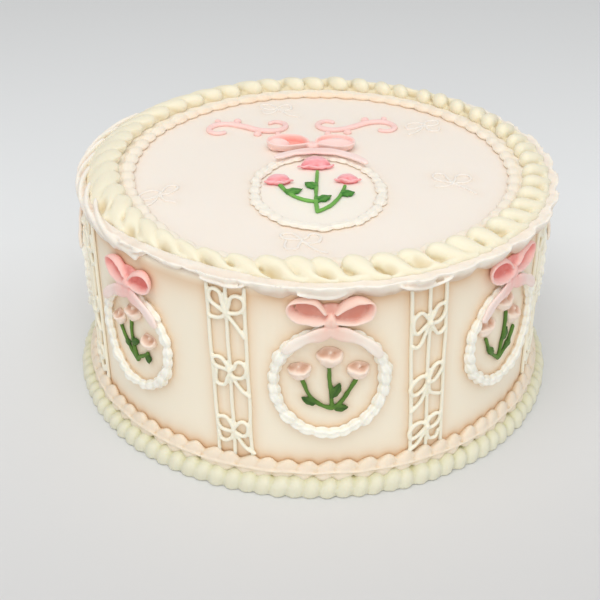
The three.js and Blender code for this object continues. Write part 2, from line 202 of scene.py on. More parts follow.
@dataclass(frozen=True)
class Icing:
    """Buttercream in sRGB levels, mottled a little, with shade painted in its creases and hollows
    in its crease colour.
    """

    name: str
    slot: str
    colour: Levels
    # crease: colour of the shade painted in creases, hollows and under piping; pale: colour of
    # painted paler spots.
    crease: Levels
    pale: Levels | None = None
    mottle: float = 0.06
    grain: float = 0.25
    pore_depth: float = 0.4
    roughness: float = 0.52
    gloss_range: float = 0.06
    scatter: float = 0.35
    scatter_depth: float = 2.5
    scatter_share: Colour = (1.0, 0.85, 0.7)
    specular: float = 0.4

    def base(self, shader: Shader, place: bpy.types.NodeSocket) -> bpy.types.NodeSocket:
        """Colour before the painted shade of the creases: the icing's own, with soft lighter and
        darker patches.

        Args:
            shader: the material that is being made.
            place: Object coordinates.

        Returns:
            The colour's output.
        """
        return self.mottled(shader, place, linear(*self.colour))

    def mottled(self, shader: Shader, place: bpy.types.NodeSocket, colour: object,
                scale: float = 55.0, low: float = 0.35, high: float = 0.65) -> bpy.types.NodeSocket:
        """Runs soft patches of the crease's colour through another colour.

        Args:
            shader: the material that is being made.
            place: Object coordinates.
            colour: the colour or its output.
            scale: how close together the patches lie.
            low, high: levels of the noise where a patch starts and where it is full.

        Returns:
            The mottled colour's output.
        """
        patches = shader.add("TexNoise", Vector=place, Scale=scale, Detail=3.0)
        share = shader.spread(patches.outputs["Fac"], low, high, 0.0, self.mottle)
        return shader.blend(share, colour, linear(*self.crease))

    def material(self) -> bpy.types.Material:
        """Makes the finish.

        Returns:
            The material, or the one made before under this name.
        """
        made = bpy.data.materials.get(self.name)
        if made:
            return made
        shader = Shader(self.name)
        place = shader.add("TexCoord").outputs["Object"]
        # Painted shade: the colour runs to the crease colour as the painted depth rises, and to the
        # pale colour where the depth drops below 0.
        crease = shader.add("Attribute", {"attribute_name": PAINTED_SHADE}).outputs["Fac"]
        colour = shader.blend(crease, self.base(shader, place), linear(*self.crease))
        if self.pale:
            colour = shader.blend(shader.spread(crease, -1, 0, 1, 0), colour, linear(*self.pale))
        shader.feed(shader.surface, "Base Color", colour)
        self.set_grain(shader, place)
        self.set_scatter(shader)
        return shader.material

    def set_grain(self, shader: Shader, place: bpy.types.NodeSocket) -> None:
        """Gives the icing its fine pores, in its gloss and its bumps."""
        pores = shader.add("TexNoise", Vector=place, Scale=420.0, Detail=4.0, Roughness=0.6)
        height = pores.outputs["Fac"]
        rough = self.roughness
        gloss = shader.spread(height, 0.3, 0.7, rough - self.gloss_range, rough + self.gloss_range)
        shader.feed(shader.surface, "Roughness", gloss)
        bump = shader.add("Bump", Strength=self.grain, Distance=self.pore_depth * MM, Height=height)
        shader.feed(shader.surface, "Normal", bump.outputs["Normal"])

    def set_scatter(self, shader: Shader) -> None:
        """Sets the soft light that passes through the icing."""
        shader.feed(shader.surface, "Subsurface Weight", self.scatter)
        shader.feed(shader.surface, "Subsurface Radius", self.scatter_share)
        shader.feed(shader.surface, "Subsurface Scale", self.scatter_depth * MM)
        shader.feed(shader.surface, "Specular IOR Level", self.specular)


@dataclass(frozen=True)
class SpreadCoat(Icing):
    """The knife-smoothed coat: blush white on top, with a warmer cream painted down the side for
    the bounced light that falls there.
    """

    side: Levels = (254, 243, 223)
    top_height: float = 119.5

    def base(self, shader: Shader, place: bpy.types.NodeSocket) -> bpy.types.NodeSocket:
        """Blush top that turns over the edge to the side's painted warmer cream, with broad faint
        patches.
        """
        height = shader.add("SeparateXYZ", Vector=place).outputs["Z"]
        edge = self.top_height * MM
        over_edge = shader.spread(height, edge - 4 * MM, edge - 0.5 * MM)
        # Painted light: the side's warmer cream stands for the bounced light that falls on the
        # side.
        own = shader.blend(over_edge, linear(*self.side), linear(*self.colour))
        return self.mottled(shader, place, own, 14.0, 0.4, 0.7)


@dataclass(frozen=True)
class FloorPaint:
    """Plain pale matt floor, with painted shade in front of the cake and far behind it, round a
    painted pool of light near it.
    """

    name: str = "pale_floor"
    near: Levels = (208, 208, 208)
    middle: Levels = (241, 243, 244)
    far: Levels = (231, 232, 232)
    cloud: Colour = (0.6, 0.6, 0.6)
    cloudiness: float = 0.04

    def material(self) -> bpy.types.Material:
        """Makes the floor's finish."""
        shader = Shader(self.name)
        place = shader.add("TexCoord").outputs["Object"]
        back = shader.add("SeparateXYZ", Vector=place).outputs["Y"]
        # Painted light: darker near and far, brighter round the cake.
        ahead = shader.spread(back, -0.26, 0.14)
        colour = shader.blend(ahead, linear(*self.near), linear(*self.middle))
        colour = shader.blend(shader.spread(back, 0.2, 0.7), colour, linear(*self.far))
        cloud = shader.add("TexNoise", Vector=place, Scale=2.0, Detail=2.0)
        tone = shader.spread(cloud.outputs["Fac"], 0.3, 0.7, 0.0, self.cloudiness)
        shader.feed(shader.surface, "Base Color", shader.blend(tone, colour, self.cloud))
        shader.feed(shader.surface, "Roughness", 0.7)
        return shader.material


# The second colour of each finish is the shade painted in its creases, hollows and under the
# piping; the third, where given, is the colour of its painted paler spots.
COAT = SpreadCoat("coat_buttercream", "icing_coat", (249, 239, 228), (232, 200, 164),
                  (255, 248, 235), mottle=0.04, grain=0.12, scatter=0.2)
COAT_PIPED = Icing("coat_string_buttercream", "ivory_piping", (250, 240, 229), (230, 214, 192))
IVORY = Icing("ivory_buttercream", "ivory_piping", (243, 236, 212), (218, 198, 154))
WHITE = Icing("white_buttercream", "white_piping", (251, 242, 230), (216, 188, 160))
RING_CREAM = Icing("ring_buttercream", "blush_piping", (249, 239, 224), (247, 213, 180))
BASE_CREAM = Icing("base_buttercream", "blush_piping", (239, 225, 205), (220, 192, 149))
BEAD_CREAM = Icing("bead_buttercream", "ivory_piping", (229, 226, 204), (204, 200, 147))
STRING_CREAM = Icing("string_buttercream", "ivory_piping", (253, 246, 226), (240, 225, 196))
SHELL_WHITE = Icing("shell_buttercream", "white_piping", (255, 252, 239), (236, 212, 180))
TOP_SHELL = Icing("top_shell_buttercream", "white_piping", (249, 241, 229), (242, 222, 196))
RIBBON_PINK = Icing("ribbon_buttercream", "pink_piping", (250, 211, 196), (222, 148, 130),
                    (255, 240, 228))
RIBBON_ROSE = Icing("rose_ribbon_buttercream", "pink_piping", (252, 198, 190), (232, 126, 118),
                    (252, 228, 220))
RIBBON_PALE = Icing("pale_ribbon_buttercream", "pink_piping", (248, 228, 214), (226, 172, 150),
                    (250, 238, 226))
TOP_PINK = Icing("top_pink_buttercream", "pink_piping", (255, 216, 209), (252, 176, 164),
                 (254, 226, 220))
TULIP_BLUSH = Icing("tulip_blush_buttercream", "pink_piping", (254, 232, 217), (208, 158, 127))
TULIP_PINK = Icing("tulip_pink_buttercream", "pink_piping", (254, 194, 198), (228, 90, 98))
SCROLL_PINK = Icing("scroll_buttercream", "pink_piping", (255, 214, 208), (248, 184, 178))
LEAF_GREEN = Icing("leaf_buttercream", "green_piping", (98, 138, 50), (28, 72, 12),
                   mottle=0.35, grain=0.5, scatter=0.1)
TOP_GREEN = Icing("top_leaf_buttercream", "green_piping", (122, 184, 84), (28, 108, 24),
                  mottle=0.3, grain=0.4, scatter=0.1)


@dataclass(frozen=True)
class Wall:
    """A spot on an upright wall round the cake's axis."""

    degrees: float
    height: float
    radius: float

    def put(self, point: Vector) -> Vector:
        """Lays a local point (right, up, out) on the wall."""
        angle = math.radians(self.degrees) + point.x / self.radius
        reach = self.radius + point.z
        return Vector((reach * math.sin(angle), -reach * math.cos(angle), self.height + point.y))


@dataclass(frozen=True)
class Top:
    """A spot on the cake's flat top."""

    x: float
    y: float
    height: float

    def put(self, point: Vector) -> Vector:
        """Lays a local point (right, back, out) on the top."""
        return Vector((self.x + point.x, self.y + point.y, self.height + point.z))


Spot = Wall | Top


class Facing(Enum):
    """Which way the flat of a piped stroke faces, in local coordinates."""

    OUT = (0.0, 0.0, 1.0)
    UP = (0.0, 1.0, 0.0)


@dataclass(frozen=True)
class Stop:
    """One section of a piped stroke: its place, its width and its thickness."""

    place: Vector
    width: float
    thick: float


def run_of(places: Sequence[Vector], index: int) -> Vector:
    """Direction of a stroke at one of its places."""
    return (places[min(index + 1, len(places) - 1)] - places[max(index - 1, 0)]).normalized()


def section(middle: Vector, columns: Sequence[Vector]) -> Matrix:
    """Matrix with three columns that moves the origin to a stroke's middle."""
    return Matrix.Translation(middle) @ Matrix(columns).transposed().to_4x4()


def round_sections(stops: Sequence[Stop], facing: Facing = Facing.OUT) -> list[Matrix]:
    """Sections of a stroke from a round or oval tube.

    Args:
        stops: where the stroke passes, and its girth there.
        facing: which way its flat faces.

    Returns:
        A matrix for each stop that puts a circle of radius 1 there.
    """
    places = [stop.place for stop in stops]
    sections = []
    for i, stop in enumerate(stops):
        run = run_of(places, i)
        across = Vector(facing.value).cross(run).normalized()
        columns = [across * 0.5 * stop.width, run.cross(across) * 0.5 * stop.thick, run]
        sections.append(section(stop.place, columns))
    return sections


def ribbon_sections(feet: Sequence[Vector], rims: Sequence[Vector], thick: float) -> list[Matrix]:
    """Sections of a ribbon from a petal tube, which stands between its foot line and its rim line.

    Args:
        feet, rims: the two lines, with as many places each.
        thick: its thickness in millimetres.

    Returns:
        A matrix for each place that puts a circle of radius 1 there.
    """
    middles = [0.5 * (foot + rim) for foot, rim in zip(feet, rims)]
    sections = []
    for i, middle in enumerate(middles):
        run = run_of(middles, i)
        half = 0.5 * (rims[i] - feet[i])
        half -= half.dot(run) * run
        columns = [half, run.cross(half).normalized() * 0.5 * thick, run]
        sections.append(section(middle, columns))
    return sections


def rounded(stops: Sequence[Stop], steps: int = 2) -> list[Stop]:
    """Adds a round end to both ends of a stroke.

    Args:
        stops: the stroke's sections.
        steps: sections added at each end.

    Returns:
        The sections with the rounding added.
    """
    def end(stop: Stop, run: Vector, order: Sequence[int]) -> list[Stop]:
        """Sections that close one end, running away from the stroke along run."""
        reach = 0.5 * min(stop.width, stop.thick)
        made = []
        for step in order:
            turn = 0.5 * math.pi * (step - 0.15) / steps
            place = stop.place + run * (reach * math.sin(turn))
            made.append(Stop(place, stop.width * math.cos(turn), stop.thick * math.cos(turn)))
        return made

    places = [stop.place for stop in stops]
    head = end(stops[0], -run_of(places, 0), range(steps, 0, -1))
    tail = end(stops[-1], run_of(places, len(places) - 1), range(1, steps + 1))
    return [*head, *stops, *tail]


def curve(points: Sequence[Flat], steps: int, out: float = 0.0) -> list[Vector]:
    """Smooth flat path through a few points.

    Args:
        points: where the path passes.
        steps: stops in each stretch.
        out: how far it lies off the icing.

    Returns:
        The path's stops.
    """
    flat = [Vector((x, y, out)) for x, y in points]
    ends = [2 * flat[0] - flat[1], *flat, 2 * flat[-1] - flat[-2]]
    path = []
    for i in range(1, len(ends) - 2):
        before, start, end, after = ends[i - 1:i + 3]
        for step in range(steps):
            t = step / steps
            path.append(0.5 * (2 * start + (end - before) * t
                               + (2 * before - 5 * start + 4 * end - after) * t ** 2
                               + (3 * start - before - 3 * end + after) * t ** 3))
    return [*path, flat[-1]]


class Dab:
    """One squeeze of icing, shaped in local coordinates before it joins a piece."""

    def __init__(self) -> None:
        """Starts with no icing."""
        self.bm = bmesh.new()
        # Layer of painted shade.
        self.crease = self.bm.verts.layers.float.new(PAINTED_SHADE)

    def press(self, around: int, along: int, rule: Callable[[Vector], Vector]) -> "Dab":
        """Presses a ball into a shape.

        Args:
            around, along: faces round the ball and from pole to pole.
            rule: gives the shaped point for each point of a ball of radius 1 with its poles on Z.

        Returns:
            The dab.
        """
        made = bmesh.ops.create_uvsphere(self.bm, u_segments=around, v_segments=along, radius=1.0)
        for vert in made["verts"]:
            vert.co = rule(vert.co.copy())
        return self

    def sweep(self, sections: Sequence[Matrix], sides: int = 8, groove: float = 0.0) -> "Dab":
        """Pipes a stroke by pulling a ring of points from section to section.

        Args:
            sections: matrices that put a circle of radius 1 at each place.
            sides: faces round it.
            groove: depth of a groove along its face, as a share of its thickness.

        Returns:
            The dab.
        """
        ring = bmesh.ops.create_circle(self.bm, segments=sides, radius=1.0)["verts"]
        for vert in ring:
            vert.co.y *= 1 - groove * math.exp(-(vert.co.x / 0.4) ** 2)
        edges = list(self.bm.edges)
        bmesh.ops.transform(self.bm, matrix=sections[0], verts=ring)
        bmesh.ops.contextual_create(self.bm, geom=edges)
        for before, after in zip(sections, sections[1:]):
            grown = bmesh.ops.extrude_edge_only(self.bm, edges=edges)["geom"]
            ring = [part for part in grown if isinstance(part, BMVert)]
            edges = [part for part in grown if isinstance(part, BMEdge) and part.is_boundary]
            bmesh.ops.transform(self.bm, matrix=after @ before.inverted(), verts=ring)
        bmesh.ops.contextual_create(self.bm, geom=edges)
        return self

    def lathe(self, profile: Sequence[Flat], sides: int) -> "Dab":
        """Turns a profile of (radius, height) points round the cake's axis.

        Args:
            profile: the outline.
            sides: faces round the axis.

        Returns:
            The dab, already in the cake's coordinates.
        """
        verts = [self.bm.verts.new((radius, 0.0, height)) for radius, height in profile]
        edges = [self.bm.edges.new(pair) for pair in zip(verts, verts[1:])]
        bmesh.ops.spin(self.bm, geom=[*verts, *edges], axis=(0, 0, 1), cent=(0, 0, 0),
                       angle=FULL_TURN, steps=sides, use_merge=True)
        bmesh.ops.remove_doubles(self.bm, verts=self.bm.verts, dist=0.001)
        return self

    def loft(self, steps: int, sides: int, rule: Callable[[float, float], Vector]) -> "Dab":
        """Shapes a solid stroke whose section changes along it.

        Args:
            steps, sides: faces along and round it.
            rule: gives the point at (along, round), each from 0 to 1.

        Returns:
            The dab.
        """
        self.sweep([Matrix.Translation((0, 0, i)) for i in range(steps + 1)], sides)
        for vert in self.bm.verts:
            turn = math.atan2(vert.co.y, vert.co.x) / FULL_TURN
            vert.co = rule(vert.co.z / steps, turn % 1.0)
        return self

    def shade(self, depth: Callable[[Vector, Vector], float]) -> "Dab":
        """Paints shade: marks how deep in a crease each point lies.

        Args:
            depth: gives 1 for full painted shade in a crease, 0 on the icing's face and down to -1
                where it is painted palest, from a point's place and the way that it faces.

        Returns:
            The dab.
        """
        bmesh.ops.recalc_face_normals(self.bm, faces=self.bm.faces)
        self.bm.normal_update()
        for vert in self.bm.verts:
            vert[self.crease] = min(max(depth(vert.co, vert.normal), -1.0), 1.0)
        return self

    def lay(self, spot: Spot, turn: Matrix | None = None) -> "Dab":
        """Moves the dab onto the cake.

        Args:
            spot: where it goes.
            turn: applied first, within the local coordinates.

        Returns:
            The dab.
        """
        for vert in self.bm.verts:
            vert.co = spot.put(turn @ vert.co if turn else vert.co)
        return self


def shell(length: float, width: float, rise: float, depth: float, steps: int = 7,
          tail: float = 0.45) -> Dab:
    """Makes one star-tube shell on the icing, with its fat head at -x and its tail at +x.

    Args:
        length, width, rise: its size in millimetres.
        depth: how deep the grooves are before its faces are smoothed, as a share of its girth.
        steps: faces from head to tail.
        tail: the tail's girth as a share of the head's.

    Returns:
        The shell.
    """
    def rule(point: Vector) -> Vector:
        """Tapers the ball to the tail and grooves it."""
        turn = math.atan2(point.y, point.x)
        girth = math.hypot(point.x, point.y) * mix(1.06, tail, smooth((point.z + 0.3) / 1.3))
        girth *= 1 + depth * (math.cos(TUBE_RIDGES * turn) - 0.2)
        return Vector((0.5 * length * point.z, 0.5 * width * girth * math.cos(turn),
                       rise * (0.36 + 0.64 * girth * math.sin(turn))))

    # Painted shade, deepest low on the shell against the icing.
    return Dab().press(2 * TUBE_RIDGES, steps, rule).shade(lambda p, n: 0.7 - 1.1 * p.z / rise)


def string(points: Sequence[Flat], thick: float, over: float = 0.0) -> Dab:
    """Pipes a thin round string along a smooth path on the icing.

    Args:
        points: where its path passes.
        thick: its thickness in millimetres.
        over: how far it is lifted to pass over another string.

    Returns:
        The string.
    """
    stops = [Stop(place, thick, thick) for place in curve(points, 3, 0.4 * thick + over)]
    dab = Dab().sweep(round_sections(rounded(stops)))
    # Painted shade, deepest low on the string against the icing.
    return dab.shade(lambda p, n: 0.3 - (p.z - over) / thick)


class Piece:
    """One piece of the cake while it is being built, in millimetres."""

    def __init__(self, name: str, finish: Icing, stands_for: Sequence[str] = ()) -> None:
        """Starts an empty piece.

        Args:
            name: the object's name.
            finish: its icing.
            stands_for: the frame's nodes that it takes the place of.
        """
        self.name = name
        self.finish = finish
        self.stands_for = stands_for
        self.mesh = bpy.data.meshes.new(name)
        self.bm = bmesh.new()
        self.bm.verts.layers.float.new(PAINTED_SHADE)

    def add(self, dab: Dab) -> None:
        """Joins a finished dab to the piece."""
        dab.bm.to_mesh(self.mesh)
        dab.bm.free()
        self.bm.from_mesh(self.mesh)

    def roughen(self, amount: float, scale: float) -> None:
        """Makes the icing uneven.

        Args:
            amount: most that a point moves, in millimetres.
            scale: size of the bumps, in millimetres.
        """
        for vert in self.bm.verts:
            vert.co += amount * noise.noise_vector(vert.co / scale)

    def done(self, melt: float = 0.0, soften: int = 3, cavity_shade: float = 1.5) -> None:
        """Turns the piece into an object of the scene that moves with the cake.

        Args:
            melt: size in millimetres of the faces that its dabs run together into, or 0 to keep
                the dabs' own.
            soften: how often those faces are smoothed.
            cavity_shade: how strongly shade is painted in the creases between dabs.
        """
        bmesh.ops.recalc_face_normals(self.bm, faces=self.bm.faces)
        bmesh.ops.scale(self.bm, vec=(MM, MM, MM), verts=self.bm.verts)
        self.bm.to_mesh(self.mesh)
        self.bm.free()
        made = bpy.data.objects.new(self.name, self.mesh)
        bpy.context.scene.collection.objects.link(made)
        if melt:
            Melting(made, melt, soften, cavity_shade).run()
        made.data.shade_smooth()
        made.data.materials.clear()
        made.data.materials.append(self.finish.material())
        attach(made, "root")
        if self.stands_for:
            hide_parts(*self.stands_for)
        log.info("%s: %d faces", self.name, len(made.data.polygons))


@dataclass
class Melting:
    """Runs the dabs of a piece together, as soft icing does, and paints shade in the creases
    between.
    """

    made: bpy.types.Object
    face: float
    soften: int
    cavity_shade: float
    cavity_soften: int = 12
    neighbours: int = 3
    touching: float = 0.1

    def shaped(self) -> bpy.types.Mesh:
        """Mesh of the object with its modifiers applied, which are then taken off."""
        graph = bpy.context.evaluated_depsgraph_get()
        mesh = bpy.data.meshes.new_from_object(self.made.evaluated_get(graph), depsgraph=graph)
        self.made.modifiers.clear()
        return mesh

    def smooth_by(self, times: int) -> None:
        """Adds a smoothing modifier."""
        even = self.made.modifiers.new("even", "SMOOTH")
        even.factor = 0.5
        even.iterations = times

    @staticmethod
    def read(mesh: bpy.types.Mesh, name: str) -> np.ndarray:
        """Places or normals of a mesh's points, a row for each."""
        values = np.empty(3 * len(mesh.vertices), dtype=np.float32)
        mesh.vertices.foreach_get(name, values)
        return values.reshape(-1, 3)

    def carried(self, dabs: bpy.types.Mesh, places: np.ndarray) -> np.ndarray:
        """Depth of shade that the dabs were painted with, at each place on the melted surface."""
        depths = [item.value for item in dabs.attributes[PAINTED_SHADE].data]
        tree = search_tree([vert.co for vert in dabs.vertices])
        found = np.empty(len(places), dtype=np.float32)
        for row, place in enumerate(places):
            near = tree.find_n(place, self.neighbours)
            weights = [1 / (distance + self.touching * MM) for _, _, distance in near]
            found[row] = sum(w * depths[i] for w, (_, i, _) in zip(weights, near)) / sum(weights)
        return found

    @staticmethod
    def blurred(mesh: bpy.types.Mesh, depth: np.ndarray, times: int = 4) -> np.ndarray:
        """Depths run into those of the neighbouring points."""
        ends = np.empty(2 * len(mesh.edges), dtype=np.int32)
        mesh.edges.foreach_get("vertices", ends)
        first, second = ends.reshape(-1, 2).T
        count = np.bincount(ends, minlength=len(depth)) + 1
        for _ in range(times):
            total = depth + np.bincount(first, depth[second], len(depth))
            depth = (total + np.bincount(second, depth[first], len(depth))) / count
        return depth

    def run(self) -> None:
        """Melts the object's dabs into one surface and paints shade on it, deepest in its hollows.
        """
        dabs = self.made.data
        split = self.made.modifiers.new("split", "SUBSURF")
        split.levels = split.render_levels = 1
        fused = self.made.modifiers.new("fuse", "REMESH")
        fused.mode = "VOXEL"
        fused.voxel_size = self.face * MM
        self.smooth_by(self.soften)
        mesh = self.shaped()
        self.made.data = mesh
        self.smooth_by(self.cavity_soften)
        soft = self.shaped()
        places = self.read(mesh, "co")
        # Painted shade: the dabs' painted depth, blurred, and more where the surface lies in a
        # hollow.
        hollow = ((self.read(soft, "co") - places) * self.read(mesh, "normal")).sum(1) / MM
        depth = self.blurred(mesh, self.carried(dabs, places)) + self.cavity_shade * hollow
        layer = mesh.attributes.new(PAINTED_SHADE, "FLOAT", "POINT")
        layer.data.foreach_set("value", np.clip(depth, -1, 1).astype(np.float32))
        bpy.data.meshes.remove(soft)
        bpy.data.meshes.remove(dabs)
        mesh.name = self.made.name


@dataclass
class CakeBody:
    """The cake under its spread coat."""

    radius: float
    height: float
    pale_oval: tuple[float, float, float]
    edge_round: float = 4.5
    edge_steps: int = 6
    sides: int = 300
    ring_pitch: float = 2.4
    unevenness: float = 0.3
    wave: float = 34.0
    # Reach and strength of the peach-tan shade painted on the coat beside the piping, on its side
    # and on its top.
    shade_halo: float = 2.6
    side_shade: float = 0.56
    top_shade: float = 0.14
    borders_top: float = 15.0
    ruffle_foot: float = 115.0
    sampled: int = 3

    def profile(self) -> list[Flat]:
        """Outline from the middle of the top, over the edge and down to the middle of the base."""
        flat = self.radius - self.edge_round
        rings = round(flat / self.ring_pitch)
        top = [(flat * i / rings, self.height) for i in range(rings)]
        turns = [0.5 * math.pi * i / self.edge_steps for i in range(self.edge_steps + 1)]
        edge = [(flat + self.edge_round * math.sin(turn),
                 self.height - self.edge_round * (1 - math.cos(turn))) for turn in turns]
        drop = self.height - self.edge_round
        rings = round(drop / self.ring_pitch)
        side = [(self.radius, drop * (1 - i / rings)) for i in range(1, rings + 1)]
        return [*top, *edge, *side, (0.0, 0.0)]

    def build(self, decorations: Sequence[bpy.types.Object]) -> None:
        """Turns the body, gives its coat slow, shallow waves and paints peach-tan shade on it
        beside the piping.

        Args:
            decorations: everything that is piped on it.
        """
        piece = Piece("cake_coat", COAT, ["cake_body"])
        piece.add(Dab().lathe(self.profile(), self.sides))
        for vert in piece.bm.verts:
            if vert.co.z > 1:
                way = Vector((vert.co.x, vert.co.y, 0)).normalized()
                if vert.co.z > self.height - 0.5:
                    way = Vector((0, 0, 1))
                vert.co += self.unevenness * noise.noise(vert.co / self.wave) * way
        self.paint_warm_shade(piece, decorations)
        piece.done()

    def paint_warm_shade(self, piece: Piece, decorations: Sequence[bpy.types.Object]) -> None:
        """Paints peach-tan shade on the coat close to any piping, above the base and under the
        ruffle, and paints the top paler inside the top wreath's oval.
        """
        tree = search_tree([vert.co for made in decorations
                            for vert in list(made.data.vertices)[::self.sampled]])
        layer = piece.bm.verts.layers.float[PAINTED_SHADE]
        middle_y, half_width, half_height = self.pale_oval
        for vert in piece.bm.verts:
            x, y, z = vert.co
            gap = tree.find(vert.co * MM)[2] / MM
            on_side = smooth((self.height - 2 - z) / 6)
            shade_halo = mix(self.top_shade, self.side_shade, on_side)
            depth = shade_halo * math.exp(-max(gap - 0.6, 0) / self.shade_halo)
            # Painted shade above the base borders and under the ruffle.
            depth += 0.55 * on_side * math.exp(-max(z - self.borders_top, 0) / 5)
            depth += on_side * math.exp(-max(self.ruffle_foot - z, 0) / 7)
            oval = math.hypot(x / half_width, (y - middle_y) / half_height)
            vert[layer] = depth - 0.5 * smooth((1.02 - oval) / 0.2) * (1 - on_side)


@dataclass
class RopeBorder:
    """Ivory rope along the top edge: plump strokes that start inside and sweep out and down."""

    foot: float
    head_radius: float = 114.3
    strokes: int = 52
    stops: int = 10
    reach: float = 12.0
    longest: float = 20.0
    width: float = 10.8
    height: float = 9.9
    tail_height: float = 4.6
    tail_thick: float = 3.6
    first: float = 3.8
    shift: float = 2.4
    pits: Sequence[float] = (-66, -51.5, -40, -28.3, -12.9, -1.4, 12, 20.8)
    seed: int = 11

    def slant(self, degrees: float) -> float:
        """Angle in degrees between a stroke and the edge, which changes as the hand goes round."""
        return 43 + 17 * math.sin(math.radians(degrees - 40))

    def stroke(self, degrees: float, rng: random.Random) -> Dab:
        """Pipes one stroke, with its head at an angle round the cake."""
        size = rng.uniform(0.95, 1.05)
        slant = math.radians(self.slant(degrees) + rng.uniform(-7, 5))
        lead = min(self.longest, self.reach / math.tan(slant))
        stops = []
        for i in range(self.stops):
            t = i / (self.stops - 1)
            fall = smooth((t - 0.1) / 0.9)
            girth = mix(1.0, 0.3, smooth((t - 0.2) / 0.7)) * mix(0.86, 1.0, smooth(4 * t))
            thick = mix(0.95 * self.height, self.tail_thick, fall)
            crest = mix(self.height, self.tail_height, fall) * size
            out = self.reach * mix(t, smooth(1.2 * t), 0.8)
            place = Vector((lead * t, crest - 0.5 * thick, out))
            stops.append(Stop(place, self.width * girth * size, thick))
        dab = Dab().sweep(round_sections(rounded(stops, 3), Facing.UP), 12)
        # Painted shade, deepest low on the stroke.
        dab.shade(lambda p, n: 0.36 - 0.75 * p.y / self.height)
        return dab.lay(Wall(degrees, self.foot, self.head_radius))

    def core(self) -> Dab:
        """Low ring under the strokes, with an outer rim that closes the pits between tails; inside
        the rim it is painted with full shade, which shows in the pits.
        """
        outline = [(111.5, -1), (112.4, 2.6), (115, 3.8), (118, 2.2), (121.4, 1.4), (123.2, 3.8),
                   (124.7, 4.9), (126.3, 4.2), (127, 1.5), (126.4, -1), (111.5, -1)]
        dab = Dab().lathe([(radius, self.foot + up) for radius, up in outline], 180)
        dab.shade(lambda p, n: mix(1.0, 0.12, smooth((p.xy.length - 121.8) / 1.6)))
        for vert in dab.bm.verts:
            if vert.co.z > self.foot:
                full = smooth(1 - abs(bearing(vert.co) + 88) / 50)
                inner = smooth((124 - vert.co.xy.length) / 3)
                vert.co.z += 3.0 * full * inner + 0.9 * noise.noise(vert.co / 9)
        return dab

    def settle(self, piece: Piece) -> None:
        """Runs the strokes together on the left, where most of their painted shade is taken off,
        and draws them in and lower beside the front.
        """
        layer = piece.bm.verts.layers.float[PAINTED_SHADE]
        for vert in piece.bm.verts:
            radius, angle = vert.co.xy.length, bearing(vert.co)
            flat = smooth(1.3 - abs(angle + 92) / 50) * smooth((vert.co.z - self.foot - 2) / 2)
            crown = self.foot + 9.2 - 0.045 * (radius - 115.5) ** 2
            vert.co.z = mix(vert.co.z, crown, 0.84 * flat)
            vert[layer] *= 1 - 0.9 * flat
            thin = drawn_in(angle)
            vert.co.xy *= mix(1, mix(1, 118.5 / radius, 0.5), thin)
            vert.co.z = mix(vert.co.z, self.foot, 0.24 * thin)
            vert.co.x += self.shift * (self.head_radius / vert.co.xy.length) ** 6

    def pit(self, piece: Piece) -> None:
        """Sinks the pits that are left between some of the strokes, and paints shade in them."""
        layer = piece.bm.verts.layers.float[PAINTED_SHADE]
        for vert in piece.bm.verts:
            angle = bearing(vert.co)
            middle = mix(123.2, 121.6, drawn_in(angle))
            for degrees in self.pits:
                if abs(angle - degrees) < 6:
                    along = math.radians(angle - degrees) * middle
                    across = vert.co.xy.length - middle - 0.3 * along
                    near = math.exp(-(along / 4.4) ** 4 - (across / 1.9) ** 4)
                    vert.co.z -= 4.6 * near * smooth((vert.co.z - self.foot) / 3)
                    vert[layer] = max(vert[layer], 0.9 * near)

    def build(self) -> None:
        """Pipes the strokes round over the core."""
        rng = random.Random(self.seed)
        piece = Piece("rope_border", IVORY, ["top_rope_border"])
        piece.add(self.core())
        for i in range(self.strokes):
            degrees = self.first + 360 * i / self.strokes + rng.uniform(-0.7, 0.7)
            piece.add(self.stroke(degrees, rng))
        self.settle(piece)
        self.pit(piece)
        piece.roughen(amount=0.4, scale=7)
        piece.done(melt=0.78, soften=4, cavity_shade=1.2)


@dataclass
class InnerShells:
    """Ring of small pale shells on the top, against the inside of the rope."""

    foot: float
    shells: int = 64
    radius: float = 106.4
    shift: float = 3.0
    seed: int = 17

    def depth(self, place: Vector, normal: Vector) -> float:
        """Painted shade, deeper low on the side that faces the middle of the cake, most of all at
        the back.
        """
        inner = smooth((self.radius + 0.6 - place.xy.length) / 3.6)
        back = smooth(1 - (180 - abs(bearing(place))) / 100)
        return (0.16 + 0.5 * back) * inner * smooth(1.7 - normal.z)

    def build(self) -> None:
        """Pipes the ring of shells."""
        rng = random.Random(self.seed)
        piece = Piece("inner_shell_ring", RING_CREAM, ["top_inner_shells"])
        pitch = FULL_TURN * self.radius / self.shells
        upright = Matrix.Rotation(math.radians(-90), 4, "X")
        for i in range(self.shells):
            size = rng.uniform(0.92, 1.08)
            dab = shell(1.6 * pitch * size, 9.0 * size, 4.0 * size, depth=0.16)
            spot = Wall(360 * i / self.shells + rng.uniform(-0.4, 0.4), self.foot, self.radius)
            piece.add(dab.lay(spot, upright).shade(self.depth))
        # Low collar inside the rope, painted with orange-peach shade that shows between the rope's
        # heads, strongest a little right of the front.
        collar = [(106, -1), (107.5, 2.2), (110, 2.6), (114, 2.6), (115, -1), (106, -1)]
        dab = Dab().lathe([(radius, self.foot + up) for radius, up in collar], 120)
        piece.add(dab.shade(lambda p, n: 0.1 + 0.9 * smooth(1 - abs(bearing(p) - 25) / 62)))
        for vert in piece.bm.verts:
            thin = drawn_in(bearing(vert.co))
            vert.co.xy *= 1 + 5.2 * thin / vert.co.xy.length
            vert.co.z = mix(vert.co.z, self.foot, 0.3 * thin)
            vert.co.x += self.shift * min(1.0, (107 / vert.co.xy.length) ** 4)
        piece.roughen(amount=0.3, scale=5)
        piece.done(melt=0.62, soften=5, cavity_shade=0.9)


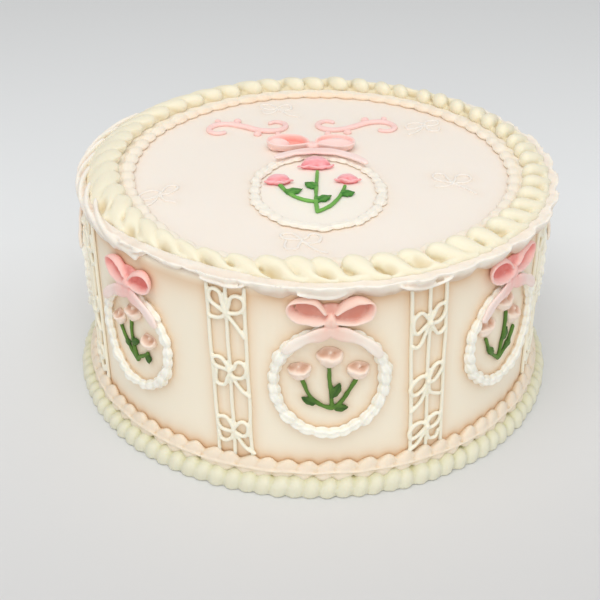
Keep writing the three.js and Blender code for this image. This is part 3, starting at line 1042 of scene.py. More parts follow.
@dataclass
class PetalRuffle:
    """White petals along the top edge, run together into a wavy band, with sagging folds."""

    radius: float
    joins: Sequence[Flat] = ((-43.5, 0.2), (-32.4, 0.3), (-19, 0.2), (-8.5, 0.5), (5.2, 0.2),
                             (15.5, 0.5), (22.6, 0.2))
    even_from: float = 33.0
    even_petals: int = 27
    full: Sequence[Flat] = ((-1.5, 111.4), (2.0, 111.8), (4.8, 116.6), (7.8, 123.2), (5.0, 121.8),
                            (-1.5, 122.6))
    tucked: Sequence[Flat] = ((-1.5, 116.2), (0.8, 116.6), (2.5, 118.8), (4.4, 122.4),
                              (3.0, 121.6), (-1.5, 122.6))
    folds: Sequence[tuple[float, float, float, float]] = (
        (-104, -82, 121.5, 6), (-94, -70, 122, 8.5), (-84, -62, 121.5, 9.5), (-74, -50, 122, 8),
        (-64, -44, 121.5, 5), (-28, -18, 119.6, 2), (-7, 3, 118.6, 2.6), (14, 26, 120, 4),
        (62, 84, 120.5, 6), (104, 124, 121, 7), (150, 168, 120, 4.5), (196, 222, 121, 8),
        (236, 254, 120.5, 6),
    )
    cords: Sequence[Flat] = ((-124, -96), (-114, -88), (-105, -80), (-97, -70), (-88, -62),
                             (-79, -54), (-70, -46))
    stops: int = 13
    seed: int = 23

    def ends(self, rng: random.Random) -> list[Flat]:
        """Angle of every join, and how far the petals stay open there."""
        first = self.joins[0][0]
        span = first + 360 - self.even_from
        even = [(self.even_from + span * i / self.even_petals + rng.uniform(-0.8, 0.8),
                 rng.choice((0.1, 0.2, 0.3, 0.6))) for i in range(self.even_petals)]
        return [*self.joins, *even, (first + 360, self.joins[0][1])]

    @staticmethod
    def stand(degrees: float) -> float:
        """How far the petals stand out at an angle: most on the right, least left and behind."""
        return 0.64 + 0.38 * math.cos(math.radians(degrees - 45)) - 0.28 * drawn_in(degrees)

    def span(self, start: float, end: float) -> tuple[Wall, float]:
        """Spot on the wall midway between two angles, and half the way from one to the other."""
        half = 0.5 * math.radians(end - start) * self.radius
        return Wall(0.5 * (start + end), 0, self.radius), half

    def petal(self, start: Flat, end: Flat, rng: random.Random) -> Dab:
        """Pipes one petal between two joins: it opens slowly and closes fast."""
        spot, half = self.span(start[0], end[0])
        middle = spot.degrees
        grow = rng.uniform(0.92, 1.06) * self.stand(middle)
        drop = rng.uniform(-1.2, 0.6)

        def rule(along: float, across: float) -> Vector:
            """Place on the petal: up its face to the rim, back to the rope and down the wall."""
            u = mix(-0.04, 1.05, along)
            swing = mix(start[1], 1, smooth(u / 0.5)) * mix(1, end[1], smooth((u - 0.8) / 0.2))
            swing = mix(0.15, 1, swing)
            at = across * len(self.full)
            low = int(at) % len(self.full)
            high = (low + 1) % len(self.full)
            open_out, open_up, shut_out, shut_up = (
                mix(a, b, at % 1) for a, b in zip((*self.full[low], *self.tucked[low]),
                                                  (*self.full[high], *self.tucked[high])))
            out = mix(shut_out, open_out, swing) * (grow if open_out > 0 else 1)
            thin = drawn_in(middle + math.degrees(mix(-half, half, u) / self.radius))
            if open_out < 0 and open_up > 120:
                out -= 5 * thin
            hang = smooth((121 - open_up) / 8)
            up = mix(shut_up, open_up + drop * hang, swing) + hang * (1.2 + 4.4 * thin)
            return Vector((mix(-half, half, u), up, out))

        def depth(place: Vector, normal: Vector) -> float:
            """Painted shade, deeper low on the face and in the trough behind the rim."""
            trough = smooth(normal.y - 0.4 * normal.z) * smooth((4.5 - place.z) / 4)
            return max(0.9 * smooth((121 - place.y) / 8), 0.3 * trough)

        return Dab().loft(14, 18, rule).shade(depth).lay(spot)

    def drape(self, start: float, end: float, rule: Callable[[float], Sequence[float]], face: float,
              under: float) -> Dab:
        """Pipes a stroke over the petals between two angles.

        Args:
            start, end: the angles in degrees.
            rule: gives its height, how far out it lies, its width and its thickness, from 0 at the
                start to 1 at the end.
            face: depth of painted shade on its face.
            under: how much more shade is painted where it faces down.

        Returns:
            The stroke.
        """
        spot, half = self.span(start, end)
        stops = []
        for i in range(self.stops):
            t = i / (self.stops - 1)
            up, out, width, thick = rule(t)
            stops.append(Stop(Vector((mix(-half, half, t), up, out)), width, thick))
        dab = Dab().sweep(round_sections(rounded(stops)))
        return dab.shade(lambda p, n: face + under * smooth(-n.y)).lay(spot)

    def fold(self, start: float, end: float, top: float, sag: float) -> Dab:
        """Pipes one fold that hangs over the petals' faces between two angles."""
        stand = self.stand(0.5 * (start + end))

        def rule(t: float) -> Sequence[float]:
            """Sagging fold, thickest in its middle."""
            up = top - sag * math.sin(math.pi * t) ** 0.8
            out = mix(2.0, 7.4, (up - 112) / 10.5) * stand + 0.2
            return up, out, 0.9 + 1.2 * math.sin(math.pi * t), 2.0

        return self.drape(start, end, rule, -0.2, 0.4)

    def cord(self, start: float, end: float, rng: random.Random) -> Dab:
        """Drapes one cord from the rope, out over the petals and down to their lower edge."""

        def rule(t: float) -> Sequence[float]:
            """Cord that runs out and down, a little wavy."""
            up = 124.2 - 8.6 * t ** 1.6 + 0.4 * math.sin(9 * t + start)
            out = -3.2 + 6.6 * math.sin(0.5 * math.pi * min(1.0, 1.5 * t)) - 1.4 * smooth(2 * t - 1)
            return up, out, mix(3.6, 4.6, math.sin(math.pi * t)) * rng.uniform(0.92, 1.08), 2.8

        return self.drape(start, end, rule, -0.1, 0.5)

    def bed(self) -> Dab:
        """Pipes the icing that fills the gap between the rope and the cords."""
        low = 112
        outline = [(124, low), (124, 122.6), (128, 123.2), (130, 119.6), (129, low), (124, low)]
        # The bed is painted with a little shade.
        dab = Dab().lathe(outline, 180).shade(lambda p, n: 0.1)
        first, last = self.cords[0][0], self.cords[-1][1]
        for vert in dab.bm.verts:
            angle = bearing(vert.co)
            full = smooth((angle - first) / 8) * smooth((last - angle) / 8)
            vert.co.z = mix(low + 0.1 * (vert.co.z - low), vert.co.z, full)
            vert.co.xy *= mix(0.95, 1, full)
        return dab

    def build(self) -> None:
        """Pipes the petals round the edge, and the folds and cords over them."""
        rng = random.Random(self.seed)
        piece = Piece("petal_ruffle", WHITE, ["top_ruffle"])
        ends = self.ends(rng)
        for start, end in zip(ends, ends[1:]):
            piece.add(self.petal(start, end, rng))
        for start, end, top, sag in self.folds:
            piece.add(self.fold(start, end, top, sag))
        for start, end in self.cords:
            piece.add(self.cord(start, end, rng))
        piece.add(self.bed())
        piece.roughen(amount=0.8, scale=5)
        piece.done(melt=0.7, soften=3)


@dataclass
class BaseBeads:
    """Plump barrels on the floor round the cake, each run into the next."""

    wall: float
    outer: float
    beads: int = 102
    half_width: float = 5.3
    height: float = 10.0
    seed: int = 37

    def bead(self, degrees: float, rng: random.Random) -> Dab:
        """Presses one bead against the cake and the floor."""
        size = rng.uniform(0.94, 1.06)
        lean = math.tan(math.radians(rng.uniform(4, 16)))
        half = 0.5 * (self.outer - self.wall + 1.2) * rng.uniform(0.97, 1.02)

        def rule(point: Vector) -> Vector:
            """Barrel with a rounded top and an upright skirt down to its flat foot."""
            up = self.height * size * (0.4 + 0.6 * point.z)
            if point.z < 0:
                up = self.height * size * max(0.0, 0.4 + 0.58 * point.z)
                reach = math.hypot(point.x, point.y)
                if reach > 0.3:
                    point *= mix(1.0, 0.97, -point.z) / reach
            right = self.half_width * size * point.x + lean * (up - 5)
            return Vector((right, up, half * (1 + point.y) - 0.6))

        dab = Dab().press(14, 9, rule)
        # Painted shade, deeper low, against the cake and where the bead faces down, and less where
        # it faces up.
        dab.shade(lambda p, n: 0.75 - 0.085 * p.z + 0.25 * smooth((3 - p.y) / 3) - 0.3 * n.y)
        return dab.lay(Wall(degrees, 0, self.wall))

    def build(self) -> None:
        """Pipes the ring of beads."""
        rng = random.Random(self.seed)
        piece = Piece("base_beads", BEAD_CREAM, ["base_bead_border"])
        for i in range(self.beads):
            piece.add(self.bead(360 * i / self.beads + rng.uniform(-0.3, 0.3), rng))
        core = [(self.wall + out, up) for out, up in ((-1, 0), (-1, 9.6), (2.4, 9.2), (7, 6.4),
                                                      (8, 0), (-1, 0))]
        # The core between the beads is painted with full shade.
        piece.add(Dab().lathe(core, 120).shade(lambda p, n: 1.0))
        piece.roughen(amount=0.25, scale=6)
        for vert in piece.bm.verts:
            vert.co.z = max(vert.co.z, 0.0)
        piece.done(melt=0.78, soften=3)


@dataclass
class BaseShells:
    """Row of ruffled shells on the wall just above the beads, with a seam along its middle."""

    wall: float
    height: float
    shells: int = 80
    length: float = 1.45
    width: float = 8.6
    rise: float = 6.2
    tooth: float = 3.0
    seam_half: float = 0.65
    seed: int = 41

    def shell(self, degrees: float, rng: random.Random) -> Dab:
        """Pipes one shell: a pointed tooth above the seam and a scallop below it."""
        size = rng.uniform(0.9, 1.1)
        half_length = 0.5 * self.length * FULL_TURN * (self.wall + 3) / self.shells * size

        def rule(point: Vector) -> Vector:
            """Ball drawn out to a tail, with a tooth along its upper side."""
            turn = math.atan2(point.y, point.x)
            girth = math.hypot(point.x, point.y) * mix(1.05, 0.6, smooth((point.z + 0.2) / 1.2))
            up = math.cos(turn)
            tooth = self.tooth * max(0.0, 1 - abs(point.z - 0.05) / 0.4) if up > 0 else 0.0
            lobe = 1.0 if up > 0 else 1 + 0.35 * (1 - abs(point.z))
            low = max(-up, 0.0)
            return Vector((half_length * point.z + 1.4 * up,
                           0.5 * self.width * size * girth * lobe * up + tooth * up ** 4,
                           self.rise * (0.3 + 0.54 * girth * math.sin(turn)) + 2.8 * low * girth))

        def depth(place: Vector, normal: Vector) -> float:
            """Painted shade, deep under the scallop and against the wall."""
            return 0.6 - 0.95 * place.z / self.rise + 0.25 * smooth(-0.25 * place.y - 0.4)

        dab = Dab().press(16, 9, rule).shade(depth)
        return dab.lay(Wall(degrees, self.height, self.wall))

    def seam(self) -> Dab:
        """Pipes the thin raised line that runs round over the middle of the shells."""
        reach, half = self.wall + 0.86 * self.rise, self.seam_half
        outline = [(reach + 1.2 * half * math.cos(turn), self.height + half * math.sin(turn))
                   for turn in (FULL_TURN * i / 6 for i in range(7))]
        # The seam is painted below 0, which takes painted shade off it and beside it.
        dab = Dab().lathe(outline, 180).shade(lambda p, n: -0.2)
        for vert in dab.bm.verts:
            vert.co.z += 0.9 * noise.noise(vert.co / 14)
        return dab

    def build(self) -> None:
        """Pipes the row of shells and the seam over it."""
        rng = random.Random(self.seed)
        piece = Piece("base_shell_row", BASE_CREAM, ["base_shells"])
        for i in range(self.shells):
            piece.add(self.shell(360 * i / self.shells + rng.uniform(-0.5, 0.5), rng))
        piece.add(self.seam())
        piece.roughen(amount=0.35, scale=5)
        piece.done(melt=0.6, soften=1, cavity_shade=2.0)


@dataclass(frozen=True)
class SprayPlan:
    """Where the stems, leaves and tulips of a spray lie, from the medallion's centre."""

    stems: Sequence[Sequence[Flat]]
    leaves: Sequence[tuple[Flat, Flat]]
    tulips: Sequence[tuple[float, float, float, float]]


FRONT_SPRAY = SprayPlan(
    stems=[
        [(1.6, -16), (0.9, -6), (0, 3), (-0.2, 9.6)],
        [(1.6, -16), (-4.6, -13.2), (-9.6, -8), (-13.2, 1.4)],
        [(1.6, -16), (6, -12), (9.6, -5.6), (13.2, 1.2)],
    ],
    leaves=[((1.6, -9.4), (5.8, 0.8)), ((-6.2, -13), (-14.8, -8.6)), ((2.2, -15.6), (11, -15.6))],
    tulips=[(0, 14.6, 12.6, 0), (-14.4, 6.6, 11, -6), (13.6, 6.4, 11, 7)],
)
HOOKED_SPRAY = SprayPlan(
    stems=[
        [(0.3, -15.8), (-2.4, -7), (-3.8, 2), (-3.1, 10.3)],
        [(0.3, -15.8), (-6.4, -10), (-11, -4.4), (-14.8, 1.3)],
        [(0.3, -15.8), (2.4, -12.6), (5.1, -10.9), (8, -8.6), (10.2, -6.6)],
    ],
    leaves=[((-3, -5.3), (3.4, -1)), ((-6, -6.4), (-12.2, -9.4)), ((10, -7.1), (10.6, -14.8))],
    tulips=[(-0.2, 16.6, 11.6, 4), (-14.7, 6.6, 10.6, -8), (11.9, 2, 10.4, 8)],
)
LEANING_SPRAY = SprayPlan(
    stems=[
        [(-1.3, -17.5), (0.2, -8), (1.8, 1), (1.4, 9.7)],
        [(-1.3, -17.5), (-6.4, -13), (-11, -7), (-14.4, 0.6)],
        [(-1.3, -17.5), (4.4, -14), (8.6, -9.4), (11.5, -4)],
    ],
    leaves=[((0.8, -7.4), (5.4, 0.4)), ((-7, -12), (-13, -4.4)), ((3.4, -14.4), (11.6, -8.6))],
    tulips=[(-1.4, 17.6, 12.4, -3), (-15.6, 8.6, 11.6, -9), (8.4, 5.4, 11.4, 8)],
)
TOP_SPRAY = SprayPlan(
    stems=[
        [(-2, -24.4), (-1.8, -10), (-0.6, 6), (0.9, 23)],
        [(-1.8, -13.4), (-9, -10.4), (-15.6, -3.4), (-20.4, 7.6)],
        [(-2, -24.4), (4.6, -19), (10.4, -9), (14.8, 4.4)],
    ],
    leaves=[
        ((-0.8, 2.6), (-7.4, 10.6)),
        ((-1.4, -12.6), (7.6, -5.6)),
        ((-17.4, -2.6), (-7.2, 2.2)),
        ((11.6, -5.8), (20.8, -2.6)),
    ],
    tulips=[(0.6, 32.6, 19.4, 0), (-20.9, 13.6, 15.6, -4), (16.7, 13.6, 13.6, 4)],
)


@dataclass(frozen=True)
class LoopPlan:
    """One loop of a ribbon bow from its knot: where the ribbon stands, and where its rim is."""

    foot: Sequence[Flat]
    rim: Sequence[Flat]


@dataclass(frozen=True)
class BowPlan:
    """A ribbon bow's loops, its tails' reach round the wreath in degrees, and its sunken parts."""

    loops: Sequence[LoopPlan]
    tails: tuple[float, float]
    paddles: Sequence[tuple[float, float, float, float]] = ()


FRONT_BOW = BowPlan(
    loops=[
        LoopPlan(
            foot=[(-1, 1), (-5, 1.2), (-10, 1.6), (-15, 3), (-17.4, 6.4), (-16.5, 10), (-12, 12),
                  (-6.5, 10.6), (-1.5, 4)],
            rim=[(-1.5, -0.5), (-6, -2.2), (-11, -1.6), (-17, 0.2), (-20.6, 4.2), (-19.8, 8.6),
                 (-14, 10.6), (-7, 9), (-2, 3)],
        ),
        LoopPlan(
            foot=[(1, 1), (5, -0.5), (11, -1), (16, 1.5), (17.6, 5.5), (16.4, 10), (12, 12),
                  (6, 10.4), (1.5, 4)],
            rim=[(1.5, -0.5), (6, -2), (12, -2.2), (18, -0.5), (20.6, 4), (19.4, 8), (13.5, 8.8),
                 (7, 6.6), (2, 3)],
        ),
    ],
    tails=(-50, 58),
)
SIDE_BOW = BowPlan(
    loops=[
        LoopPlan(
            foot=[(-1, 1), (-5, 0), (-10, 0.4), (-15, 2.6), (-16.4, 6.6), (-14.5, 10.4),
                  (-9.6, 11.6), (-4.6, 8.6), (-1.2, 3)],
            rim=[(-1.5, -0.5), (-6, -2.6), (-11.6, -2.2), (-17.4, 0.6), (-19.6, 5), (-17.8, 9),
                 (-11.4, 10), (-5.4, 7), (-1.6, 2.4)],
        ),
        LoopPlan(
            foot=[(1, 1), (5.4, 0.6), (10.6, 0), (15.2, 2), (17, 6), (15.2, 10.2), (10.4, 11.2),
                  (5.2, 8.4), (1.4, 3.4)],
            rim=[(1.5, -0.5), (6, -1.8), (11.4, -2), (17.2, 0), (19.6, 4.4), (18, 8.6), (12, 9.4),
                 (6, 6.4), (1.8, 2.4)],
        ),
    ],
    tails=(-54, 52),
)
TOP_BOW = BowPlan(
    loops=[
        LoopPlan(
            foot=[(-1, 1), (-8, -1), (-17, -2.4), (-22.6, 1.6), (-22.4, 7), (-15, 10.4),
                  (-6.5, 8.6), (-1.5, 3)],
            rim=[(-1.5, -1), (-9, -4), (-19, -4.6), (-25.8, 0.4), (-25.4, 7.6), (-17, 11.6),
                 (-7, 9.6), (-2, 3.4)],
        ),
        LoopPlan(
            foot=[(1, 1), (8, -2.6), (16, -4.4), (21.4, -1.2), (20.6, 4.8), (13.4, 8.6), (6, 7.4),
                  (1.5, 3)],
            rim=[(1.5, -1), (9, -5), (17.6, -6.6), (24.4, -1.6), (23.4, 5.6), (15.6, 9.8),
                 (6.4, 8.8), (2, 3)],
        ),
    ],
    tails=(-38, 54),
    paddles=((13, 2.4, 11.4, 7.6), (-19.4, 3.8, 6.6, 6.8)),
)


@dataclass
class Wreath:
    """Oval ring of shells, piped so close that they run into one rippled band."""

    suffix: str
    spot: Spot
    half_width: float
    half_height: float
    finish: Icing
    width: float = 7.2
    rise: float = 4.8
    pitch: float = 6.2
    seed: int = 3

    def stop(self, turn: float, out: float = 0.0) -> Vector:
        """Point of the oval at a turn clockwise from its top."""
        return Vector((self.half_width * math.sin(turn), self.half_height * math.cos(turn), out))

    def build(self) -> None:
        """Pipes the shells round the oval, each one over the last one's tail."""
        rng = random.Random(self.seed)
        piece = Piece(f"wreath_shells_{self.suffix}", self.finish, [f"wreath_{self.suffix}"])
        count = round(FULL_TURN * 0.5 * (self.half_width + self.half_height) / self.pitch)
        for i in range(count):
            turn = -FULL_TURN * i / count + rng.uniform(-0.03, 0.03)
            run = self.stop(turn - 0.05) - self.stop(turn + 0.05)
            heading = math.atan2(run.y, run.x) + rng.uniform(-0.05, 0.3)
            size = rng.uniform(0.88, 1.1)
            dab = shell(1.9 * self.pitch * size, self.width * size, self.rise * size, depth=0.36,
                        steps=9, tail=0.5)
            place = Matrix.Translation(self.stop(turn) * rng.uniform(0.985, 1.015))
            piece.add(dab.lay(self.spot, place @ Matrix.Rotation(heading, 4, "Z")))
        piece.roughen(amount=0.4, scale=4)
        piece.done(melt=0.5, soften=1, cavity_shade=0.46 * self.rise)


@dataclass
class RibbonBow:
    """Bow of petal-tube ribbon: two loops that stand on edge, and tails on the wreath."""

    suffix: str
    wreath: Wreath
    plan: BowPlan
    finish: Icing
    scale: float = 1.0
    above: float = 7.0
    thick: float = 1.7
    rim_out: float = 5.2
    tail_width: float = 5.8
    knot_height: float = 9.0

    def loop(self, loop: LoopPlan) -> list[Dab]:
        """Pipes one loop, and a thin film of icing inside it that is painted with full shade for
        the loop's shaded hollow.
        """
        feet, rims = (curve([(x * self.scale, y * self.scale) for x, y in line], 4, out)
                      for line, out in ((loop.foot, 0.9), (loop.rim, self.rim_out)))
        ribbon = Dab().sweep(ribbon_sections(feet, rims, self.thick), 10)
        middle = sum(feet, Vector()) / len(feet)

        def depth(place: Vector, normal: Vector) -> float:
            """Painted shade, deeper where the ribbon faces into the loop's upper half and near the
            icing behind it; less where it faces out, and painted paler at the rim.
            """
            inwards = (middle - place).xy.normalized()
            upper = smooth(0.55 + 0.14 * (place.y - middle.y))
            inside = smooth(0.5 + normal.xy.dot(inwards)) * upper
            return mix(0.22, 1.0, inside) - 0.09 * place.z

        ribbon.shade(depth)

        def film_rule(point: Vector) -> Vector:
            """Flat film that reaches the loop's foot all round."""
            way = point.xy.normalized()
            spokes = (foot - middle for foot in feet)
            reach = 1.02 * max(spokes, key=lambda spoke: spoke.xy.normalized().dot(way)).xy.length
            return Vector((reach * point.x, reach * point.y, 0.8 + 0.8 * point.z))

        film = Dab().press(20, 8, film_rule)
        # The film is painted with full shade.
        film.shade(lambda p, n: 1.0)
        middle.z = 0
        return [ribbon, film.lay(Top(middle.x, middle.y, 0))]

    def tail(self, reach: float, knot: Vector) -> Dab:
        """Pipes one tail, from the knot down over the wreath's shells, paler towards its end, with
        a painted highlight where it faces out.
        """
        stops = [Stop(Vector((0, mix(self.wreath.half_height, knot.y, 0.2), 3.8)), 6.4, 2.8)]
        last = 9
        for i in range(1, last + 1):
            t = i / last
            out = mix(4.0, 4.8, smooth(2 * t)) + 0.25 * math.sin(9 * t)
            middle = self.wreath.stop(math.radians(mix(0.08, 1, t) * reach), out)
            middle.xy *= 1 + 0.5 / self.wreath.half_height
            width = self.tail_width * mix(1.4, 1.0, smooth(1.4 * t)) * (1 + 0.1 * math.sin(11 * t))
            stops.append(Stop(middle, width * (0.8 if i == last else 1), 2.6))
        dab = Dab().sweep(round_sections(rounded(stops)), 12, 0.45)
        far = abs(self.wreath.stop(math.radians(reach)).x)
        return dab.shade(lambda p, n: 0.1 - 1.1 * smooth(abs(p.x) / far) - 0.3 * n.z)

    @staticmethod
    def paddle(x: float, y: float, half_wide: float, half_high: float) -> Dab:
        """Presses a part of a loop that has sunk flat over its hollow, folded a little."""
        side = math.copysign(1, x)

        def rule(point: Vector) -> Vector:
            """Plump sheet that narrows towards the knot."""
            girth = mix(0.66, 1, 0.5 + 0.5 * side * point.x)
            fold = 0.8 * math.cos(6 * point.y + 0.8) * max(point.z, 0)
            return Vector((x + half_wide * point.x, y + half_high * girth * point.y,
                           2.4 + 3.4 * point.z + fold))

        # Painted a little paler than the ribbon's face.
        return Dab().press(20, 12, rule).shade(lambda p, n: -0.1)

    def knot(self) -> Dab:
        """Presses the knot, narrow above and wide below."""
        high = 0.5 * self.knot_height * self.scale

        def rule(point: Vector) -> Vector:
            """Wedge with a crease down its middle."""
            half = self.scale * mix(5.2, 1.5, 0.5 + 0.5 * point.y)
            dent = 0.5 * math.exp(-(point.x / 0.25) ** 2)
            return Vector((half * point.x, high * point.y, 2.8 + (3.0 - dent) * point.z))

        # Painted shade, deeper low on the knot.
        return Dab().press(14, 9, rule).shade(lambda p, n: 0.75 - 0.13 * p.z)

    def build(self) -> None:
        """Pipes the tails, the loops and the knot over them."""
        piece = Piece(f"ribbon_{self.suffix}", self.finish, [f"ribbon_bow_{self.suffix}"])
        knot = Vector((0, self.wreath.half_height + self.above * self.scale, 0))
        for reach in self.plan.tails:
            piece.add(self.tail(reach, knot).lay(self.wreath.spot))
        # Blob between the loops, painted with deep shade.
        gap = Dab().press(12, 8, lambda p: Vector((8.0 * p.x, 4.6 + 4.2 * p.y, 0.8 + 1.6 * p.z)))
        dabs = [dab for loop in self.plan.loops for dab in self.loop(loop)]
        dabs += [self.paddle(*paddle) for paddle in self.plan.paddles]
        for dab in (*dabs, self.knot(), gap.shade(lambda p, n: 0.75)):
            piece.add(dab.lay(self.wreath.spot, Matrix.Translation(knot)))
        piece.roughen(amount=0.4, scale=5)
        piece.done(melt=0.47, soften=2)


class Bloom(Enum):
    """How a tulip is piped."""

    CUP = "open cup with a bud inside"
    DOME = "full dome with wrapped petals"


@dataclass
class TulipSpray:
    """Green stems and leaves with a tulip on each stem."""

    suffix: str
    spot: Spot
    plan: SprayPlan
    green: Icing
    pink: Icing
    bloom: Bloom
    scale: float = 1.0
    stem: float = 2.4
    leaf_width: float = 4.8
    seed: int = 5

    def pipe_stem(self, points: Sequence[Flat], rng: random.Random) -> Dab:
        """Pipes one stem on the icing."""
        stops = [
            Stop(place, self.stem * rng.uniform(0.86, 1.14), 0.9 * self.stem)
            for place in curve(points, 5, 0.34 * self.stem)
        ]
        # Painted shade, deepest low on the stem.
        return Dab().sweep(round_sections(rounded(stops))).shade(lambda p, n: 0.6 - p.z / self.stem)

    def pipe_leaf(self, ends: tuple[Flat, Flat], rng: random.Random) -> Dab:
        """Pipes one leaf: two plump halves with a crease between them and notched sides."""
        start, tip = (Vector((x, y, 0)) for x, y in ends)
        length = (tip - start).length
        width = self.leaf_width * rng.uniform(0.9, 1.1)
        phase = rng.uniform(0, 6)

        def rule(point: Vector) -> Vector:
            """Pointed leaf, creased along its middle."""
            along = 0.5 * (1 + point.z)
            girth = (1 - smooth((along - 0.4) / 0.6)) ** 0.7 if along > 0.4 else 1.0
            girth *= 1 + 0.2 * math.sin(22 * along + phase + point.x)
            crease = 0.9 * math.exp(-(point.x * girth / 0.22) ** 2)
            ribs = 0.22 * math.cos(26 * along + phase)
            return Vector((length * along, 0.5 * width * girth * point.x,
                           1.0 + (1.5 * point.y - crease + ribs) * girth))

        turn = Matrix.Rotation(math.atan2(tip.y - start.y, tip.x - start.x), 4, "Z")
        # Darker green for the leaf's own colour, with painted shade that deepens low on it.
        dab = Dab().press(14, 14, rule).shade(lambda p, n: 1.3 - 0.36 * p.z)
        return dab.lay(Top(start.x, start.y, 0), turn)

    def pipe_cup(self, width: float) -> list[Dab]:
        """Pipes an open cup: a notched lip in front of a deep hollow, with a small bud in it."""
        half = 0.52 * width

        def hollow(point: Vector) -> float:
            """Share of the full depth of the hollow, above a lip that is lowest in its middle."""
            lip = 0.08 + 0.3 * abs(point.x) + 0.08 * math.cos(5 * point.x + 1)
            return smooth((point.y - lip) / 0.22) if point.z > -0.3 else 0.0

        def rule(point: Vector) -> Vector:
            """Plump cup in front of its hollow."""
            back = 0.9 if point.y > 0 else 0.86
            rise = 1.1 * math.exp(-((point.y - 0.04 - 0.26 * abs(point.x)) / 0.25) ** 2)
            full = 0.8 + 3.4 * max(point.z, -0.3) + rise * max(point.z, 0)
            lapped = 0.5 * smooth(3 * point.x - 0.2) * max(-point.y, 0)
            return Vector((half * point.x * (1 + 0.2 * point.y), half * back * point.y,
                           mix(full + lapped, 0.5 + 0.6 * point.z, hollow(point))))

        def depth(place: Vector, normal: Vector) -> float:
            """Painted shade, deep in the hollow, little on the lip and deeper low on the cup."""
            at = Vector((place.x / half, place.y / (0.88 * half), 1.0))
            return max(hollow(at) * mix(1.0, 0.7, smooth(at.y)), 0.3 - 0.14 * place.z)

        up = 0.46 * half
        # The bud is painted with some shade.
        bud = Dab().press(10, 8, lambda p: Vector((1.2 * p.x, up + 1.2 * p.y, 0.9 + 1.3 * p.z)))
        return [Dab().press(30, 20, rule).shade(depth), bud.shade(lambda p, n: 0.4)]

    def pipe_dome(self, width: float) -> list[Dab]:
        """Pipes a full flower: a dome with petals wrapped round its lower edge."""
        half = 0.5 * width

        def rule(point: Vector) -> Vector:
            """Dome that is flat towards the stem."""
            back = 0.9 if point.y > 0 else 0.36
            return Vector((0.9 * half * point.x, half * back * point.y - 2.2,
                           0.6 + 0.5 * half * max(point.z, -0.3)))

        def depth(place: Vector, normal: Vector) -> float:
            """Painted shade, deep where the petals meet the dome and deeper low on it."""
            return 0.3 - 0.12 * place.z + 0.7 * smooth((-1.0 - place.y) / 3)

        dabs = [Dab().press(18, 10, rule).shade(depth)]
        turns = [mix(-1.25, 1.25, i / 4) for i in range(5)]
        for side, low in ((-1, 0.0), (1, 0.0), (0.2, -1.4)):
            arc = [(side * half * 0.5 + half * 0.6 * math.sin(turn),
                    -1.6 + low - 0.4 * half * math.cos(turn)) for turn in turns]
            feet = curve(arc, 3, 0.6)
            rims = [
                p + Vector((0, -0.3, 1.9 * math.sin(math.pi * mix(0.15, 0.85, i / 12)) + 0.6))
                for i, p in enumerate(feet)
            ]
            petal = Dab().sweep(ribbon_sections(feet, rims, 1.5))
            # Painted shade, deepest low on each petal.
            dabs.append(petal.shade(lambda p, n: 1.0 - 0.3 * p.z))
        return dabs

    def build(self) -> None:
        """Pipes the greenery in one piece and the tulips in another."""
        rng = random.Random(self.seed)
        size = Matrix.Diagonal((self.scale, self.scale, 1, 1))
        greenery = Piece(f"stems_{self.suffix}", self.green, [f"tulip_spray_{self.suffix}"])
        for stem in self.plan.stems:
            greenery.add(self.pipe_stem(stem, rng).lay(self.spot, size))
        for leaf in self.plan.leaves:
            greenery.add(self.pipe_leaf(leaf, rng).lay(self.spot, size))
        greenery.roughen(amount=0.4, scale=2.4)
        greenery.done(melt=0.42, soften=1)
        flowers = Piece(f"tulips_{self.suffix}", self.pink)
        pipe = self.pipe_cup if self.bloom is Bloom.CUP else self.pipe_dome
        for x, y, width, lean in self.plan.tulips:
            turn = Matrix.Rotation(math.radians(-lean), 4, "Z")
            for dab in pipe(width):
                flowers.add(dab.lay(self.spot, size @ Matrix.Translation((x, y, 0)) @ turn))
        flowers.roughen(amount=0.9, scale=3)
        flowers.done(melt=0.44, soften=2)


@dataclass(frozen=True)
class KnotPlan:
    """A string bow's loops and loose ends, each from the knot at (0, 0) or close to it."""

    left_loop: Sequence[Flat]
    right_loop: Sequence[Flat]
    ends: Sequence[Sequence[Flat]]

    @property
    def strokes(self) -> list[Sequence[Flat]]:
        """Its loops, and then the loose ends over them."""
        return [self.left_loop, self.right_loop, *self.ends]


LEFT_TOP = KnotPlan(
    [(0, 0), (-1.9, 5.8), (-2.8, 11), (-6.6, 12.4), (-8.6, 9.4), (-7.6, 5), (-3.6, 2.4), (0, 0)],
    [(0, 0), (1.6, 4.4), (2.4, 8.4), (5.2, 10.4), (8.8, 9), (9.2, 4.4), (6.2, 0.9), (0, 0)],
    [[(0, -0.6), (-2.6, -2.9), (-5.6, -3.7), (-8.6, -3.3)],
     [(0, -0.6), (3.4, -4.2), (6.4, -8.3), (9, -12.5)]],
)
LEFT_MIDDLE = KnotPlan(
    [(0, 0.6), (-1.9, 4.2), (-4.1, 7.1), (-7.9, 7.1), (-9, 4.6), (-7.1, 1.7), (-1.9, 0.8), (0, 0)],
    [(0, 0.4), (2.6, 2.5), (3.4, 5.4), (6.4, 6.2), (8.6, 2.5), (7.1, -2.5), (2.6, -3.3), (0, -1)],
    [[(0, -1), (-1.5, -5), (-2.6, -8.7), (-6.4, -8.7), (-7.5, -5.8), (-6.8, -0.4)],
     [(0.4, -1.4), (3.4, -6.6), (6.4, -10.8), (10, -13.3)]],
)
